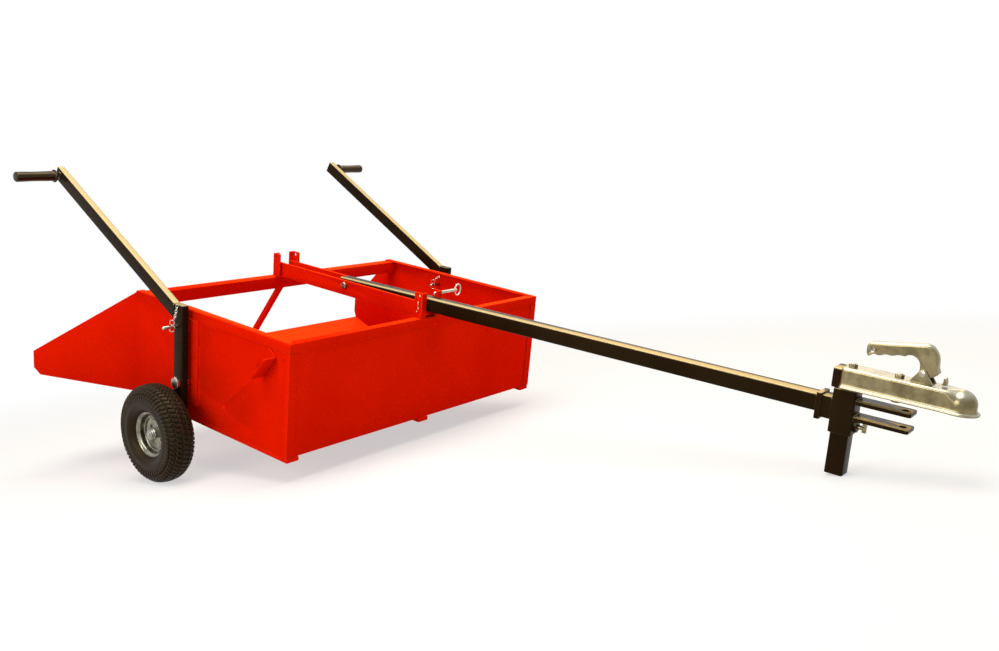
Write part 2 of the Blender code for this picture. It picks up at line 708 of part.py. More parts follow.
def coupling_stations():
    """Places round the coupling's plan: back along the left, round the nose, back on the right."""
    nose = -(COUPLING_REAR + COUPLING_LENGTH - DOME_RADIUS - COUPLING_LIP - SLEEVE_AT)
    rear = -(COUPLING_REAR - SLEEVE_AT)
    fade = DOME_FADE
    straight = [rear, nose + 2 * fade] + [nose + fade * i / 5 for i in range(5, -1, -1)]
    stations = []
    for y in straight:
        share = 1 - min(1.0, (y - nose) / fade)
        stations.append((y, (-1.0, 0.0), share * share * (3 - 2 * share)))
    back = [(y, (1.0, 0.0), blend) for y, way, blend in stations[::-1]]
    for i in range(1, 10):
        angle = pi * i / 10
        stations.append((nose, (-cos(angle), -sin(angle)), 1.0))
    return stations + back


def coupling_body(axis, zinc):
    """Pressed ball coupling: a channel open below that ends in a round socket."""
    bm = bmesh.new()
    rows = []
    for y, (across, ahead), blend in coupling_stations():
        rows.append([bm.verts.new((across * inward, y + ahead * inward, COUPLING_TOP + height))
                     for inward, height in coupling_profile(blend)])
    for left, right in zip(rows, rows[1:]):
        for i in range(len(left) - 1):
            bm.faces.new((left[i], left[i + 1], right[i + 1], right[i]))
    bmesh.ops.remove_doubles(bm, verts=bm.verts, dist=1e-6)
    bmesh.ops.dissolve_degenerate(bm, edges=bm.edges, dist=1e-6)
    bmesh.ops.recalc_face_normals(bm, faces=bm.faces)
    highest = max(bm.faces, key=lambda face: face.calc_center_median().z)
    if highest.normal.z < 0:
        bmesh.ops.reverse_faces(bm, faces=bm.faces)
    body = sheet_metal("coupling_body", bm, COUPLING_WALL, zinc, axis)
    pin_y = SLEEVE_AT - COUPLING_REAR - HANDLE_ALONG
    near = HANDLE_WIDTH / 2 + TOUCH
    foot, sunk = BRACKET_LENGTH / 2, -COUPLING_WALL / 2
    crown, peak = HANDLE_PIN * 2, HANDLE_UP + HANDLE_PIN * 1.6
    outline = [(pin_y - foot, sunk), (pin_y + foot, sunk), (pin_y + crown, peak), (pin_y - crown, peak)]
    for label, side in (("left", -1), ("right", 1)):
        ear = bmesh.new()
        raised = [(y, COUPLING_TOP + z) for y, z in outline]
        prism(ear, raised, side * near, side * (near + BRACKET_WALL), "X")
        guide(finish(f"coupling_bracket_{label}", ear, zinc, axis), body, "UNION")
    drill("coupling_pin_hole", body, axis, (0, pin_y, COUPLING_TOP + HANDLE_UP), HANDLE_PIN + BOLT_PLAY,
          -HANDLE_WIDTH, HANDLE_WIDTH)
    for number, along in enumerate((BOLT_ONE, BOLT_TWO)):
        drill(f"coupling_hole_{number}", body, axis, (0, SLEEVE_AT - COUPLING_REAR - along, COUPLING_TOP),
              COUPLING_BOLT + BOLT_PLAY, -COUPLING_WALL * 2, COUPLING_WALL * 2, "Z")
    return body


def coupling_bolt(name, along, nut_below, axis, zinc):
    """Bolt down through the coupling and the stub; the rear one ends inside the post."""
    top = COUPLING_TOP + TOUCH
    low = STUB_LOW - TOUCH
    shank, nut = arc(COUPLING_BOLT, 24), hexagon(NUT_FLAT)
    sections = [(top + NUT_THICK + COUPLING_BOLT_TAIL, shank), (top + NUT_THICK, shank),
                (top + NUT_THICK, nut), (top, nut), (top, shank)]
    if nut_below:
        sections += [(low, shank), (low, nut), (low - NUT_THICK, nut)]
    else:
        sections += [(low - COUPLING_BOLT_TAIL, shank)]
    bm = bmesh.new()
    stack(bm, sections, "Z")
    return finish(name, bm, zinc, axis, (0, SLEEVE_AT - COUPLING_REAR - along, 0))


def handle_pin(axis, zinc):
    out = HANDLE_WIDTH / 2 + TOUCH + BRACKET_WALL + TOUCH
    shank, head = arc(HANDLE_PIN, 16), arc(HANDLE_PIN * 1.6, 16)
    thick = HANDLE_PIN * 0.6
    bm = bmesh.new()
    stack(bm, [(-out - thick, head), (-out, head), (-out, shank),
               (out, shank), (out, head), (out + thick, head)], "X")
    pin_y = SLEEVE_AT - COUPLING_REAR - HANDLE_ALONG
    return finish("handle_pin", bm, zinc, axis, (0, pin_y, COUPLING_TOP + HANDLE_UP), smooth=True)


def coupling_handle(axis, zinc):
    """Hooked handle of the coupling, as (behind, up) of its pin."""
    top, depth = HANDLE_HEIGHT, HANDLE_DEPTH
    front = HANDLE_LEG * 0.75
    back = HANDLE_LEG - front
    tail = top - HANDLE_DROP
    knee = arc(HANDLE_KNEE, 6, 0.0, pi / 2, (front - HANDLE_KNEE, top - HANDLE_KNEE))
    bend = HANDLE_KNEE * 0.6
    crook = arc(bend, 5, 0.0, pi / 2, (-back - bend, top - depth - bend))
    foot = HANDLE_UP / 2
    outline = [(-back, -foot), (front * 0.5, -foot), (front + HANDLE_SPUR, foot * 0.5), (front, foot * 1.5)]
    outline += knee
    outline += [(-HANDLE_REACH + depth * 0.2, tail), (-HANDLE_REACH, tail - depth * 0.25),
                (-HANDLE_REACH, tail - depth * 0.9), (-HANDLE_REACH + depth * 0.25, tail - depth)]
    outline += [(-HANDLE_REACH * 0.50, top - depth - HANDLE_DROP * 0.40)]
    outline += crook[::-1]
    bm = bmesh.new()
    prism(bm, [(-ahead, up) for ahead, up in outline], -HANDLE_WIDTH / 2, HANDLE_WIDTH / 2, "X")
    handle = finish("coupling_handle", bm, zinc, axis)
    holes = (("bore", (0, 0, 0), HANDLE_PIN + BOLT_PLAY),
             ("eye", (0, HANDLE_REACH - depth * 0.5, tail - depth * 0.42), HANDLE_HOLE))
    for label, place, radius in holes:
        drill(f"coupling_handle_{label}", handle, axis, place, radius, -HANDLE_WIDTH, HANDLE_WIDTH)
    return handle


def handle_catch(axis, zinc):
    """Small sprung catch in front of the handle."""
    foot, stem = CATCH_BASE / 2, CATCH_STEM / 2
    outline = [(-foot, -foot * 0.8), (foot, -foot * 0.8), (foot, CATCH_RISE * 0.4),
               (stem, CATCH_RISE), (-stem, CATCH_RISE), (-stem, CATCH_RISE * 0.3)]
    bm = bmesh.new()
    prism(bm, [(-ahead, up) for ahead, up in outline], -CATCH_WIDTH / 2, CATCH_WIDTH / 2, "X")
    return finish("handle_catch", bm, zinc, axis)


def ball_clamp(axis, zinc):
    """Jaw inside the coupling that closes under the ball."""
    head, reach, depth = JAW_HEAD, JAW_REACH, JAW_DEPTH
    outline = [(-head, head), (head, head), (head * 2, -head * 0.7), (reach * 0.94, -depth * 0.6),
               (reach, -depth * 0.95), (reach * 0.8, -depth), (head * 0.7, -depth * 0.45), (-head, -head)]
    bm = bmesh.new()
    prism(bm, [(-ahead, up) for ahead, up in outline], -JAW_WIDTH / 2, JAW_WIDTH / 2, "X")
    return finish("ball_clamp", bm, zinc, axis)


# Levers: laid out from the pivot bolt

def offset_lever(wall, past):
    """Side outline of the post and its sloping tube, drawn in by a wall and run past its open ends."""
    lean, half = LEVER_SLOPE, LEVER_DEPTH / 2
    top = LEVER_TOP - PIVOT_Z
    low = -AXLE_DROP - POST_TAIL - past
    along = (cos(lean), sin(lean))
    across = (-sin(lean), cos(lean))
    knee = (half + wall * sin(lean) - wall * tan(lean / 2) * cos(lean), top - wall)
    reach = LEVER_REACH + past
    upper = (half + along[0] * reach - across[0] * wall, top + along[1] * reach - across[1] * wall)
    width = LEVER_DEPTH - 2 * wall
    lower = (upper[0] - across[0] * width, upper[1] - across[1] * width)
    crotch = (half - wall, top - (LEVER_DEPTH - wall) / cos(lean) - wall * tan(lean))
    return [(-half + wall, low), (-half + wall, top - wall), knee, upper, lower, crotch, (half - wall, low)]


def lever(name, side, axis, black):
    """Bell crank: hollow upright, sloping tube and the bar that carries the grip."""
    half = LEVER_ACROSS / 2
    bm = bmesh.new()
    prism(bm, offset_lever(0.0, 0.0), -half, half, "X")
    body = finish(name, bm, black, axis)
    hollow = bmesh.new()
    prism(hollow, offset_lever(LEVER_WALL, LEVER_DEPTH), -half + LEVER_WALL, half - LEVER_WALL, "X")
    guide(finish(f"{name}_hollow", hollow, black, axis), body, "DIFFERENCE")
    bar = bmesh.new()
    ring = arc(GRIP_BAR, 20)
    stack(bar, [(side * (half - LEVER_WALL / 2), ring), (side * (half + GRIP_NECK + GRIP_LENGTH), ring)], "X")
    guide(finish(f"{name}_bar", bar, black, axis, (0, *grip_place())), body, "UNION")
    drill(f"{name}_bolt_hole", body, axis, (0, 0, 0), PIVOT_BOLT + BOLT_PLAY, -half * 2, half * 2)
    drill(f"{name}_lock_hole", body, axis, (0, 0, LOCK_UP), LOCK_RADIUS + BOLT_PLAY, -half * 2, half * 2)
    return body


def grip_place():
    """Axis of the grip's bar, near the end of the sloping tube."""
    lean = LEVER_SLOPE
    reach = LEVER_REACH - GRIP_IN
    return (LEVER_DEPTH / 2 * (1 + sin(lean)) + reach * cos(lean),
            LEVER_TOP - PIVOT_Z - LEVER_DEPTH / 2 * cos(lean) + reach * sin(lean))


def lever_grip(name, side, axis, rubber):
    start = LEVER_ACROSS / 2 + GRIP_NECK
    bore, end = GRIP_BAR + TOUCH, start + GRIP_LENGTH
    profile = [(start, bore), (start, GRIP_COLLAR), (start + GRIP_RIM, GRIP_COLLAR),
               (start + GRIP_RIM * 1.5, GRIP_RADIUS), (end - GRIP_EDGE, GRIP_RADIUS),
               (end, GRIP_RADIUS - GRIP_EDGE), (end, bore)]
    bm = bmesh.new()
    turned(bm, [(side * along, radius) for along, radius in profile], 24)
    return finish(name, bm, rubber, axis, (0, *grip_place()), smooth=True)


def pivot_bolt(name, side, parent, zinc):
    """Bolt that a lever turns on, with a nut between lever and plate and one inside the box."""
    half = LEVER_ACROSS / 2 + TOUCH
    lever_out, lever_in = LEVER_X + half, LEVER_X - half
    plate = SKIN + 2 * TOUCH + PLATE_THICKNESS
    inside = SKIN - SHEET - TOUCH
    shank, nut = arc(PIVOT_BOLT, 24), hexagon(PIVOT_FLAT)
    sections = [(lever_out + PIVOT_HEAD, nut), (lever_out, nut), (lever_out, shank), (lever_in, shank),
                (lever_in, nut), (plate, nut), (plate, shank), (inside, shank), (inside, nut),
                (inside - PIVOT_NUT_INSIDE, nut)]
    bm = bmesh.new()
    stack(bm, [(side * level, outline) for level, outline in sections], "X")
    return finish(name, bm, zinc, parent, (0, LEVER_Y, PIVOT_Z))


def axle(name, side, axis, zinc):
    """Stub axle on the lever's outer face, with a shoulder, a washer and a tail."""
    start = LEVER_ACROSS / 2 + TOUCH
    middle = WHEEL_X - LEVER_X
    inner, outer = middle - HUB_HALF - TOUCH, middle + HUB_HALF + TOUCH
    thick = AXLE_WASHER
    flange, collar, shank, cap = (arc(r, 24) for r in (AXLE_FLANGE, AXLE_COLLAR, AXLE_RADIUS, AXLE_CAP))
    sections = [(start, flange), (start + thick, flange), (start + thick, collar), (inner, collar),
                (inner, shank), (outer, shank), (outer, cap), (outer + thick, cap),
                (outer + thick, shank), (outer + 2 * thick, shank)]
    bm = bmesh.new()
    stack(bm, [(side * level, outline) for level, outline in sections], "X")
    return finish(name, bm, zinc, axis, (0, 0, -AXLE_DROP), smooth=True)


# Wheels: laid out from the middle of the axle

def band(points, wall):
    """Closed outline of a sheet of a given wall laid along a line of points."""
    normals = []
    for a, b in zip(points, points[1:]):
        run, rise = b[0] - a[0], b[1] - a[1]
        size = hypot(run, rise)
        normals.append((-rise / size, run / size))
    shifted = []
    for i, point in enumerate(points):
        first, second = normals[max(i - 1, 0)], normals[min(i, len(normals) - 1)]
        across = (first[0] + second[0], first[1] + second[1])
        scale = 2 * wall / (across[0] ** 2 + across[1] ** 2)
        shifted.append((point[0] + across[0] * scale, point[1] + across[1] * scale))
    return list(points) + shifted[::-1]


def tyre(name, side, axis, rubber):
    """Casing from bead to bead, squarer than an ellipse, open towards the rim."""
    power = 2 / 2.6
    bead = radians(62)
    middle = (WHEEL_RADIUS + RIM_RADIUS * 0.82) / 2
    half = WHEEL_RADIUS - middle
    steps = 12
    line = []
    for i in range(steps + 1):
        angle = -bead + (pi + 2 * bead) * i / steps
        along = WHEEL_WIDTH / 2 * abs(cos(angle)) ** power * (1 if cos(angle) > 0 else -1)
        rise = half * abs(sin(angle)) ** power * (1 if sin(angle) > 0 else -1)
        line.append((along, middle + rise))
    bm = bmesh.new()
    turned(bm, [(side * along, radius) for along, radius in band(line, TYRE_WALL)], 30)
    return finish(name, bm, rubber, axis, smooth=True)


def rim_half(name, way, axis, zinc):
    """One pressed half of the rim: centre disc, bead seat and flange."""
    hole = HUB_RADIUS + TOUCH
    seat = RIM_RADIUS * 0.79
    edge = WHEEL_WIDTH * 0.42
    line = [(TOUCH, hole), (TOUCH, seat * 0.82), (edge * 0.20, seat * 0.97), (edge * 0.80, seat),
            (edge * 0.98, RIM_RADIUS - RIM_WALL)]
    outline = band(line, -RIM_WALL)
    bm = bmesh.new()
    turned(bm, [(way * along, radius) for along, radius in outline], 24)
    return finish(name, bm, zinc, axis, smooth=True)


def wheel_hub(name, axis, zinc):
    bore = AXLE_RADIUS + HUB_PLAY
    bm = bmesh.new()
    turned(bm, [(-HUB_HALF, bore), (-HUB_HALF, HUB_RADIUS), (HUB_HALF, HUB_RADIUS), (HUB_HALF, bore)], 24)
    return finish(name, bm, zinc, axis, smooth=True)


# Lock pins, with what keeps them in

def lock_pin(name, inner, tip, eye_at, eye, parent, place, steel):
    """Round pin from its locking end to its bevelled tip, with a cross-drilled eye of a given radius."""
    bevel = LOCK_RADIUS * 0.5
    way = 1 if tip > inner else -1
    bm = bmesh.new()
    ring = arc(LOCK_RADIUS, 16)
    stack(bm, [(inner, arc(LOCK_RADIUS - bevel / 2, 16)), (inner + way * bevel, ring),
               (tip - way * bevel, ring), (tip, arc(LOCK_RADIUS - bevel, 16))], "X")
    pin = finish(name, bm, steel, parent, place, smooth=True)
    deep = LOCK_RADIUS * 2
    drill(f"{name}_eye", pin, parent, (eye_at, place[1], place[2]), eye, -deep, deep, "Z")
    return pin


def wire(name, points, radius, material, parent, place):
    """Round wire along a line of points."""
    curve = bpy.data.curves.new(name, "CURVE")
    curve.dimensions = "3D"
    curve.bevel_depth = radius
    curve.bevel_resolution = 2
    curve.use_fill_caps = True
    spline = curve.splines.new("POLY")
    spline.points.add(len(points) - 1)
    for spot, point in zip(spline.points, points):
        spot.co = (*point, 1.0)
    curve.materials.append(material)
    item = bpy.data.objects.new(name, curve)
    bpy.context.collection.objects.link(item)
    item.parent = parent
    item.location = place
    return item


def clip_line(leg):
    """Hairpin clip in (y, z): a straight leg through the pin, a loop, and a leg bent round it."""
    loop = LOCK_RADIUS * 0.8
    grip = LOCK_RADIUS + WIRE + TOUCH
    start = LOCK_RADIUS * 2.6
    line = [(0.0, -leg), (0.0, -leg / 2), (0.0, start / 2), (0.0, start)]
    centre = (loop, start + loop / 5)
    line += arc(loop, 10, pi * 0.95, -pi * 1.45, centre)
    line += [(grip * 0.62, start * 0.72), (grip, LOCK_RADIUS * 0.5), (grip, -LOCK_RADIUS * 0.5),
             (grip * 0.60, -leg * 0.72), (grip * 0.80, -leg)]
    return line


def r_clip(name, way, parent, place, steel):
    line = clip_line(CLIP_LEG)
    return wire(name, [(0.0, way * y, z) for y, z in line], WIRE, steel, parent, place)


def hanging(start, end, sag, count):
    """Points of a short chain that hangs between two places."""
    a, b = Vector(start), Vector(end)
    return [a.lerp(b, i / count) - Vector((0, 0, 4 * sag * (i / count) * (1 - i / count)))
            for i in range(count + 1)]


def chain(name, start, end, parent, steel):
    """Short chain that hangs from its start to its end."""
    return wire(name, hanging(start, end, CHAIN_SAG, 5), CHAIN_WIRE, steel, parent, (0, 0, 0))


def pull_ring(name, parent, place, steel):
    bm = bmesh.new()
    turned(bm, arc(RING_WIRE, 8, centre=(0.0, RING_RADIUS)), 24, "Y")
    return finish(name, bm, steel, parent, place, smooth=True)


def build_scoop(machine, red, zinc):
    front_wall(machine, red)
    front_rail(machine, red)
    floor_plate(machine, red)
    rear_crossmember(machine, red)
    centre_strut(machine, red)
    edge = SKIN - RUNNER_WIDTH / 2
    for label, x in (("left", -edge), ("middle", 0.0), ("right", edge)):
        runner(f"runner_{label}", x, machine, red)
    for label, side in (("left", -1), ("right", 1)):
        sheet = side_sheet(f"side_sheet_{label}", side, machine, red)
        drill_wall(f"side_sheet_{label}", side, sheet, machine, folded_too=True)
        side_rail(f"side_rail_{label}", side, machine, red)
        corner_post(f"corner_post_{label}", side, machine, red)
        channel_side(f"channel_side_{label}", side, machine, red)
        plate = lever_plate(f"lever_plate_{label}", side, machine, red)
        drill_wall(f"lever_plate_{label}", side, plate, machine, folded_too=False)
        rest_saddle(f"rest_saddle_{label}", side, machine, red)
        pivot_bolt(f"pivot_bolt_{label}", side, machine, zinc)
    drawbar_bolt(machine, zinc)


def build_drawbar(machine, black, zinc):
    fold = empty("drawbar_fold", machine, (0, FOLD_Y, FOLD_Z), (-BAR_SLOPE, 0, 0))
    drawbar(fold, black)
    drawbar_collar(fold, black)
    hitch_sleeve(fold, black)
    clevis_bar("clevis_bar_upper", CLEVIS_UPPER, fold, black)
    clevis_bar("clevis_bar_lower", CLEVIS_LOWER, fold, black)
    clamp_screw(empty("clamp_turn", fold, (0, -SLEEVE_AT, -CLAMP_DROP)), zinc)
    slide = empty("post_slide", fold, (0, -SLEEVE_AT, 0))
    hitch_post(slide, black)
    coupling_body(slide, zinc)
    coupling_bolt("coupling_bolt_rear", BOLT_ONE, False, slide, zinc)
    coupling_bolt("coupling_bolt_front", BOLT_TWO, True, slide, zinc)
    handle_pin(slide, zinc)
    pin_y = SLEEVE_AT - COUPLING_REAR - HANDLE_ALONG
    coupling_handle(empty("handle_turn", slide, (0, pin_y, COUPLING_TOP + HANDLE_UP)), zinc)
    handle_catch(empty("catch_turn", slide, (0, pin_y - CATCH_AHEAD, COUPLING_TOP + CATCH_UP)), zinc)
    inner_top = COUPLING_TOP - COUPLING_WALL
    ball_clamp(empty("clamp_jaw_turn", slide, (0, pin_y - JAW_AHEAD, inner_top - JAW_DOWN)), zinc)


def build_side(label, side, machine, black, zinc, rubber, tread):
    """Lever, grip, axle and wheel of one side."""
    pivot = empty(f"lever_turn_{label}", machine, (side * LEVER_X, LEVER_Y, PIVOT_Z))
    lever(f"lever_{label}", side, pivot, black)
    lever_grip(f"lever_grip_{label}", side, pivot, rubber)
    axle(f"axle_{label}", side, pivot, zinc)
    spin = empty(f"wheel_turn_{label}", pivot, (side * (WHEEL_X - LEVER_X), 0, -AXLE_DROP))
    tyre(f"tyre_{label}", side, spin, tread)
    rim_half(f"rim_outer_{label}", side, spin, zinc)
    rim_half(f"rim_inner_{label}", -side, spin, zinc)
    wheel_hub(f"wheel_hub_{label}", spin, zinc)
    return pivot


def build_pins(machine, left_lever, steel):
    """Near pin rides on its lever, far pin in the wall and the drawbar's pin in the far ear."""
    face = LEVER_ACROSS / 2
    clip = WIRE + BOLT_PLAY
    inner = face + LEVER_GAP - PIN_SHY
    travel = PIN_SHY + PLATE_THICKNESS + SHEET + TOUCH
    near_clip = -face - travel - WIRE - BOLT_PLAY
    lock_pin("lock_pin_left", inner, -face - PIN_TIP_OUT, near_clip, clip, left_lever, (0, 0, LOCK_UP), steel)
    r_clip("r_clip_left", -1, left_lever, (near_clip, 0, LOCK_UP), steel)
    loop_up = LOCK_RADIUS * 4.4 + CHAIN_WIRE + TOUCH
    chain("chain_left", (-face - CHAIN_WIRE - TOUCH, 0, LEVER_TOP - PIVOT_Z - CHAIN_WIRE),
          (near_clip, -LOCK_RADIUS, LOCK_UP + loop_up), left_lever, steel)

    wall = SKIN - SHEET
    outer = LEVER_X - face - PIN_SHY
    spot = (0, LEVER_Y, PIVOT_Z + LOCK_UP)
    far_clip = wall - PIN_INSIDE + LOCK_RADIUS * 2
    lock_pin("lock_pin_right", outer, wall - PIN_INSIDE, far_clip, clip, machine, spot, steel)
    r_clip("r_clip_right", -1, machine, (far_clip, spot[1], spot[2]), steel)
    chain("chain_right", (wall - ANGLE_LEG / 2, LEVER_Y - ANGLE_LEG, CROSS_TOP - CHAIN_WIRE - TOUCH),
          (far_clip, spot[1] - LOCK_RADIUS, spot[2] + loop_up), machine, steel)

    near = BAR_SIZE / 2 + CHANNEL_PLAY + TOUCH
    far = near + DRAWBAR_PIN_LENGTH
    spot = (0, EAR_PIN_IN, EAR_PIN_HEIGHT)
    ring_at = far - LOCK_RADIUS * 1.6
    bow = RING_RADIUS - sqrt(RING_RADIUS ** 2 - LOCK_RADIUS ** 2)
    eye = RING_WIRE + bow / 2 + BOLT_PLAY
    lock_pin("drawbar_pin", near, far, ring_at + bow / 2, eye, machine, spot, steel)
    pull_ring("drawbar_pin_ring", machine, (ring_at + RING_RADIUS, spot[1], spot[2]), steel)
    ear_face = BAR_SIZE / 2 + CHANNEL_PLAY + EAR_ACROSS
    hung = (-ear_face - WIRE - TOUCH, EAR_PIN_IN, EAR_TOP - EAR_ALONG * 1.5)
    r_clip("r_clip_drawbar", 1, machine, hung, steel)


def stand_on_ground(machine):
    """Centre the whole model over the origin, with its lowest point at Z = 0."""
    bpy.context.view_layer.update()
    graph = bpy.context.evaluated_depsgraph_get()
    low, high = Vector((9, 9, 9)), Vector((-9, -9, -9))
    for item in bpy.data.objects:
        if item.type == "EMPTY" or item.hide_render:
            continue
        shape = item.evaluated_get(graph)
        for vertex in shape.to_mesh().vertices:
            spot = shape.matrix_world @ vertex.co
            low = Vector(map(min, low, spot))
            high = Vector(map(max, high, spot))
        shape.to_mesh_clear()
    machine.location = (-(low.x + high.x) / 2, -(low.y + high.y) / 2, -low.z)


def stance_pitch():
    """Nose-down angle at which the post's front edge and the wheels meet the ground."""
    edge = turn_flat((-SLEEVE_AT - POST_SIZE / 2, POST_BOTTOM), -BAR_SLOPE)
    nose = Vector((FOLD_Y + edge[0], FOLD_Z + edge[1]))
    run = LEVER_Y - nose.x
    drop = nose.y + AXLE_UNDER
    return atan2(drop, run) + asin(WHEEL_RADIUS / hypot(run, drop))


def main():
    for item in list(bpy.data.objects):
        bpy.data.objects.remove(item)
    red = paint("red_paint", (0.72, 0.018, 0.003), 0.35, 0.0)
    black = paint("black_paint", (0.012, 0.010, 0.008), 0.25, 0.0)
    zinc = paint("zinc_plate", (0.55, 0.50, 0.38), 0.30, 1.0)
    steel = paint("bright_steel", (0.62, 0.60, 0.56), 0.25, 1.0)
    rubber = paint("grip_rubber", (0.015, 0.014, 0.013), 0.55, 0.0)
    tread = paint("tyre_rubber", (0.030, 0.026, 0.022), 0.80, 0.0)

    machine = empty("machine", None, turn=(stance_pitch(), 0, 0))
    build_scoop(machine, red, zinc)
    build_drawbar(machine, black, zinc)
    pivots = {}
    for label, side in (("left", -1), ("right", 1)):
        pivots[label] = build_side(label, side, machine, black, zinc, rubber, tread)
    build_pins(machine, pivots["left"], steel)
    stand_on_ground(machine)


main()
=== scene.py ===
import json

import bmesh
import bpy
import numpy as np
from math import pi, radians
from mathutils import Euler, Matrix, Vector

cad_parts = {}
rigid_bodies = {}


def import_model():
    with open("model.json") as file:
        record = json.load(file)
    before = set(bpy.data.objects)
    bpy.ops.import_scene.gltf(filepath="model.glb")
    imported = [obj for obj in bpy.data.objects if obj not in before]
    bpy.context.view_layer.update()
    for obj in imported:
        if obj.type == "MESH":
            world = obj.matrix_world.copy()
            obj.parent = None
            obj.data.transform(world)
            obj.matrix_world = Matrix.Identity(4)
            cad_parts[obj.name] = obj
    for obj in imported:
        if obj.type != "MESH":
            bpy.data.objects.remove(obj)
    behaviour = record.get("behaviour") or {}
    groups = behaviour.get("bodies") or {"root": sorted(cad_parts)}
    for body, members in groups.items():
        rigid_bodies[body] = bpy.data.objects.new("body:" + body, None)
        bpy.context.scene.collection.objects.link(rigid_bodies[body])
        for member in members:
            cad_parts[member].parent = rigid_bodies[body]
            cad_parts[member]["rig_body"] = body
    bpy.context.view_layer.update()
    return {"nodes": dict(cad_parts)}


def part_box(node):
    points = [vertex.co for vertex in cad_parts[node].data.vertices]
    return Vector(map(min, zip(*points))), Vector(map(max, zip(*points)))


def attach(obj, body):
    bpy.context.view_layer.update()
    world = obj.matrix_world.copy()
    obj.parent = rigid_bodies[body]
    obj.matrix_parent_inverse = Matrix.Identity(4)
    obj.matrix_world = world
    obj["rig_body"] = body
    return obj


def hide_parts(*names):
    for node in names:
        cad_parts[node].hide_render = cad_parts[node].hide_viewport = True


print("Loading the frame")
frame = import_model()
nodes = frame["nodes"]


# Frames: the machine leans nose down, the drawbar a little less

def turnedFrame(angle, place):
    # a turn about X by the angle, then a shift to the place
    c, s = np.cos(angle), np.sin(angle)
    return np.array([[1, 0, 0], [0, c, -s], [0, s, c]]), np.array(place)


def toWorld(points, inFrame):
    turn, place = inFrame
    return np.asarray(points, float) @ turn.T + place


stance = {
    "machineLean": 0.2363290,
    "barLean": 0.2117340,
    "machine": (0.0, 0.2850224, 0.0557263),
    "foldBolt": (0.0, 0.525613, 0.474703),
    "sleeve": (0.0, -0.980974, 0.150853),
    "handlePin": (0.0, -1.147677, 0.229271),
    "leverPivot": (0.5435, 0.670311, 0.266803),
    "wheelCentre": (0.6170, 0.701451, 0.137500),
}
machineFrame = turnedFrame(stance["machineLean"], stance["machine"])
barFrame = turnedFrame(stance["barLean"], stance["foldBolt"])
hitchFrame = turnedFrame(stance["barLean"], stance["sleeve"])
handleFrame = turnedFrame(stance["barLean"], stance["handlePin"])


def sideFrame(name, side):
    x, y, z = stance[name]
    return turnedFrame(stance["machineLean"], (side * x, y, z))


sides = (("left", -1), ("right", 1))


# Surfaces

def gridFaces(rows, columns, closeRows, closeColumns):
    # a quad between each point of a rows x columns grid and its next neighbours
    r, c = np.meshgrid(np.arange(rows if closeRows else rows - 1),
                       np.arange(columns if closeColumns else columns - 1), indexing="ij")
    r2, c2 = (r + 1) % rows, (c + 1) % columns
    quads = np.stack([r * columns + c, r * columns + c2, r2 * columns + c2, r2 * columns + c], -1)
    return quads.reshape(-1, 4).tolist()


def gridSurface(points, closeRows=False, closeColumns=True, caps=False):
    # points is a rows x columns x 3 array; caps close the first and last row with flat faces
    rows, columns = points.shape[:2]
    faces = gridFaces(rows, columns, closeRows, closeColumns)
    if caps:
        faces += [list(range(columns))[::-1], list(range((rows - 1) * columns, rows * columns))]
    return points.reshape(-1, 3), faces


def joined(*surfaces):
    # several surfaces in one list of points and faces
    points, faces, start = [], [], 0
    for somePoints, someFaces in surfaces:
        points.append(somePoints)
        faces += [[index + start for index in face] for face in someFaces]
        start += len(somePoints)
    return np.concatenate(points), faces


def inScene(name, data):
    item = bpy.data.objects.new(name, data)
    bpy.context.scene.collection.objects.link(item)
    return item


def mendMesh(mesh, merge=1e-6, flatten=False):
    # merges doubled points, then joins coplanar faces, or clears slivers and turns faces outward
    work = bmesh.new()
    work.from_mesh(mesh)
    bmesh.ops.remove_doubles(work, verts=work.verts, dist=merge)
    if flatten:
        bmesh.ops.dissolve_limit(work, angle_limit=radians(1), verts=work.verts, edges=work.edges)
    else:
        bmesh.ops.dissolve_degenerate(work, edges=work.edges, dist=merge)
        bmesh.ops.recalc_face_normals(work, faces=work.faces)
    work.to_mesh(mesh)
    work.free()


def meshPiece(name, surface, inFrame, material, body, replaced=(), sharpAngle=32, merge=1e-6):
    # a surface as an object that rides on its body and stands in for CAD nodes
    points, faces = surface
    if inFrame is not None:
        points = toWorld(points, inFrame)
    mesh = bpy.data.meshes.new(name)
    mesh.from_pydata(np.asarray(points, float).tolist(), [], faces)
    mendMesh(mesh, merge)
    mesh.shade_smooth()
    mesh.set_sharp_from_angle(angle=radians(sharpAngle))
    mesh.materials.append(material)
    piece = inScene(name, mesh)
    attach(piece, body)
    if replaced:
        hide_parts(*replaced)
    return piece


def circle(radius, count, start=0.0, sweep=2 * pi):
    # count points round a circle, or along a part of one with both its ends
    angle = start + sweep * np.arange(count) / (count if sweep == 2 * pi else count - 1)
    return np.stack([radius * np.cos(angle), radius * np.sin(angle)], -1)


def roundedRectangle(width, height, radius, steps=6):
    # four quarter circles joined by straight sides
    corners = []
    for quarter, (a, b) in enumerate(((1, 1), (-1, 1), (-1, -1), (1, -1))):
        middle = np.array([a * (width / 2 - radius), b * (height / 2 - radius)])
        corners.append(circle(radius, steps, quarter * pi / 2, pi / 2) + middle)
    return np.concatenate(corners)


def revolved(profile, segments, axis=0):
    # (along, radius) rows turned about X, or about Y for axis 1: radius times the unit circle
    profile = np.asarray(profile, float)
    angle = 2 * pi * np.arange(segments) / segments
    along = np.repeat(profile[:, :1], segments, 1)
    a, b = profile[:, 1:] * np.cos(angle), profile[:, 1:] * np.sin(angle)
    return np.stack((a, along, b) if axis else (along, a, b), -1)


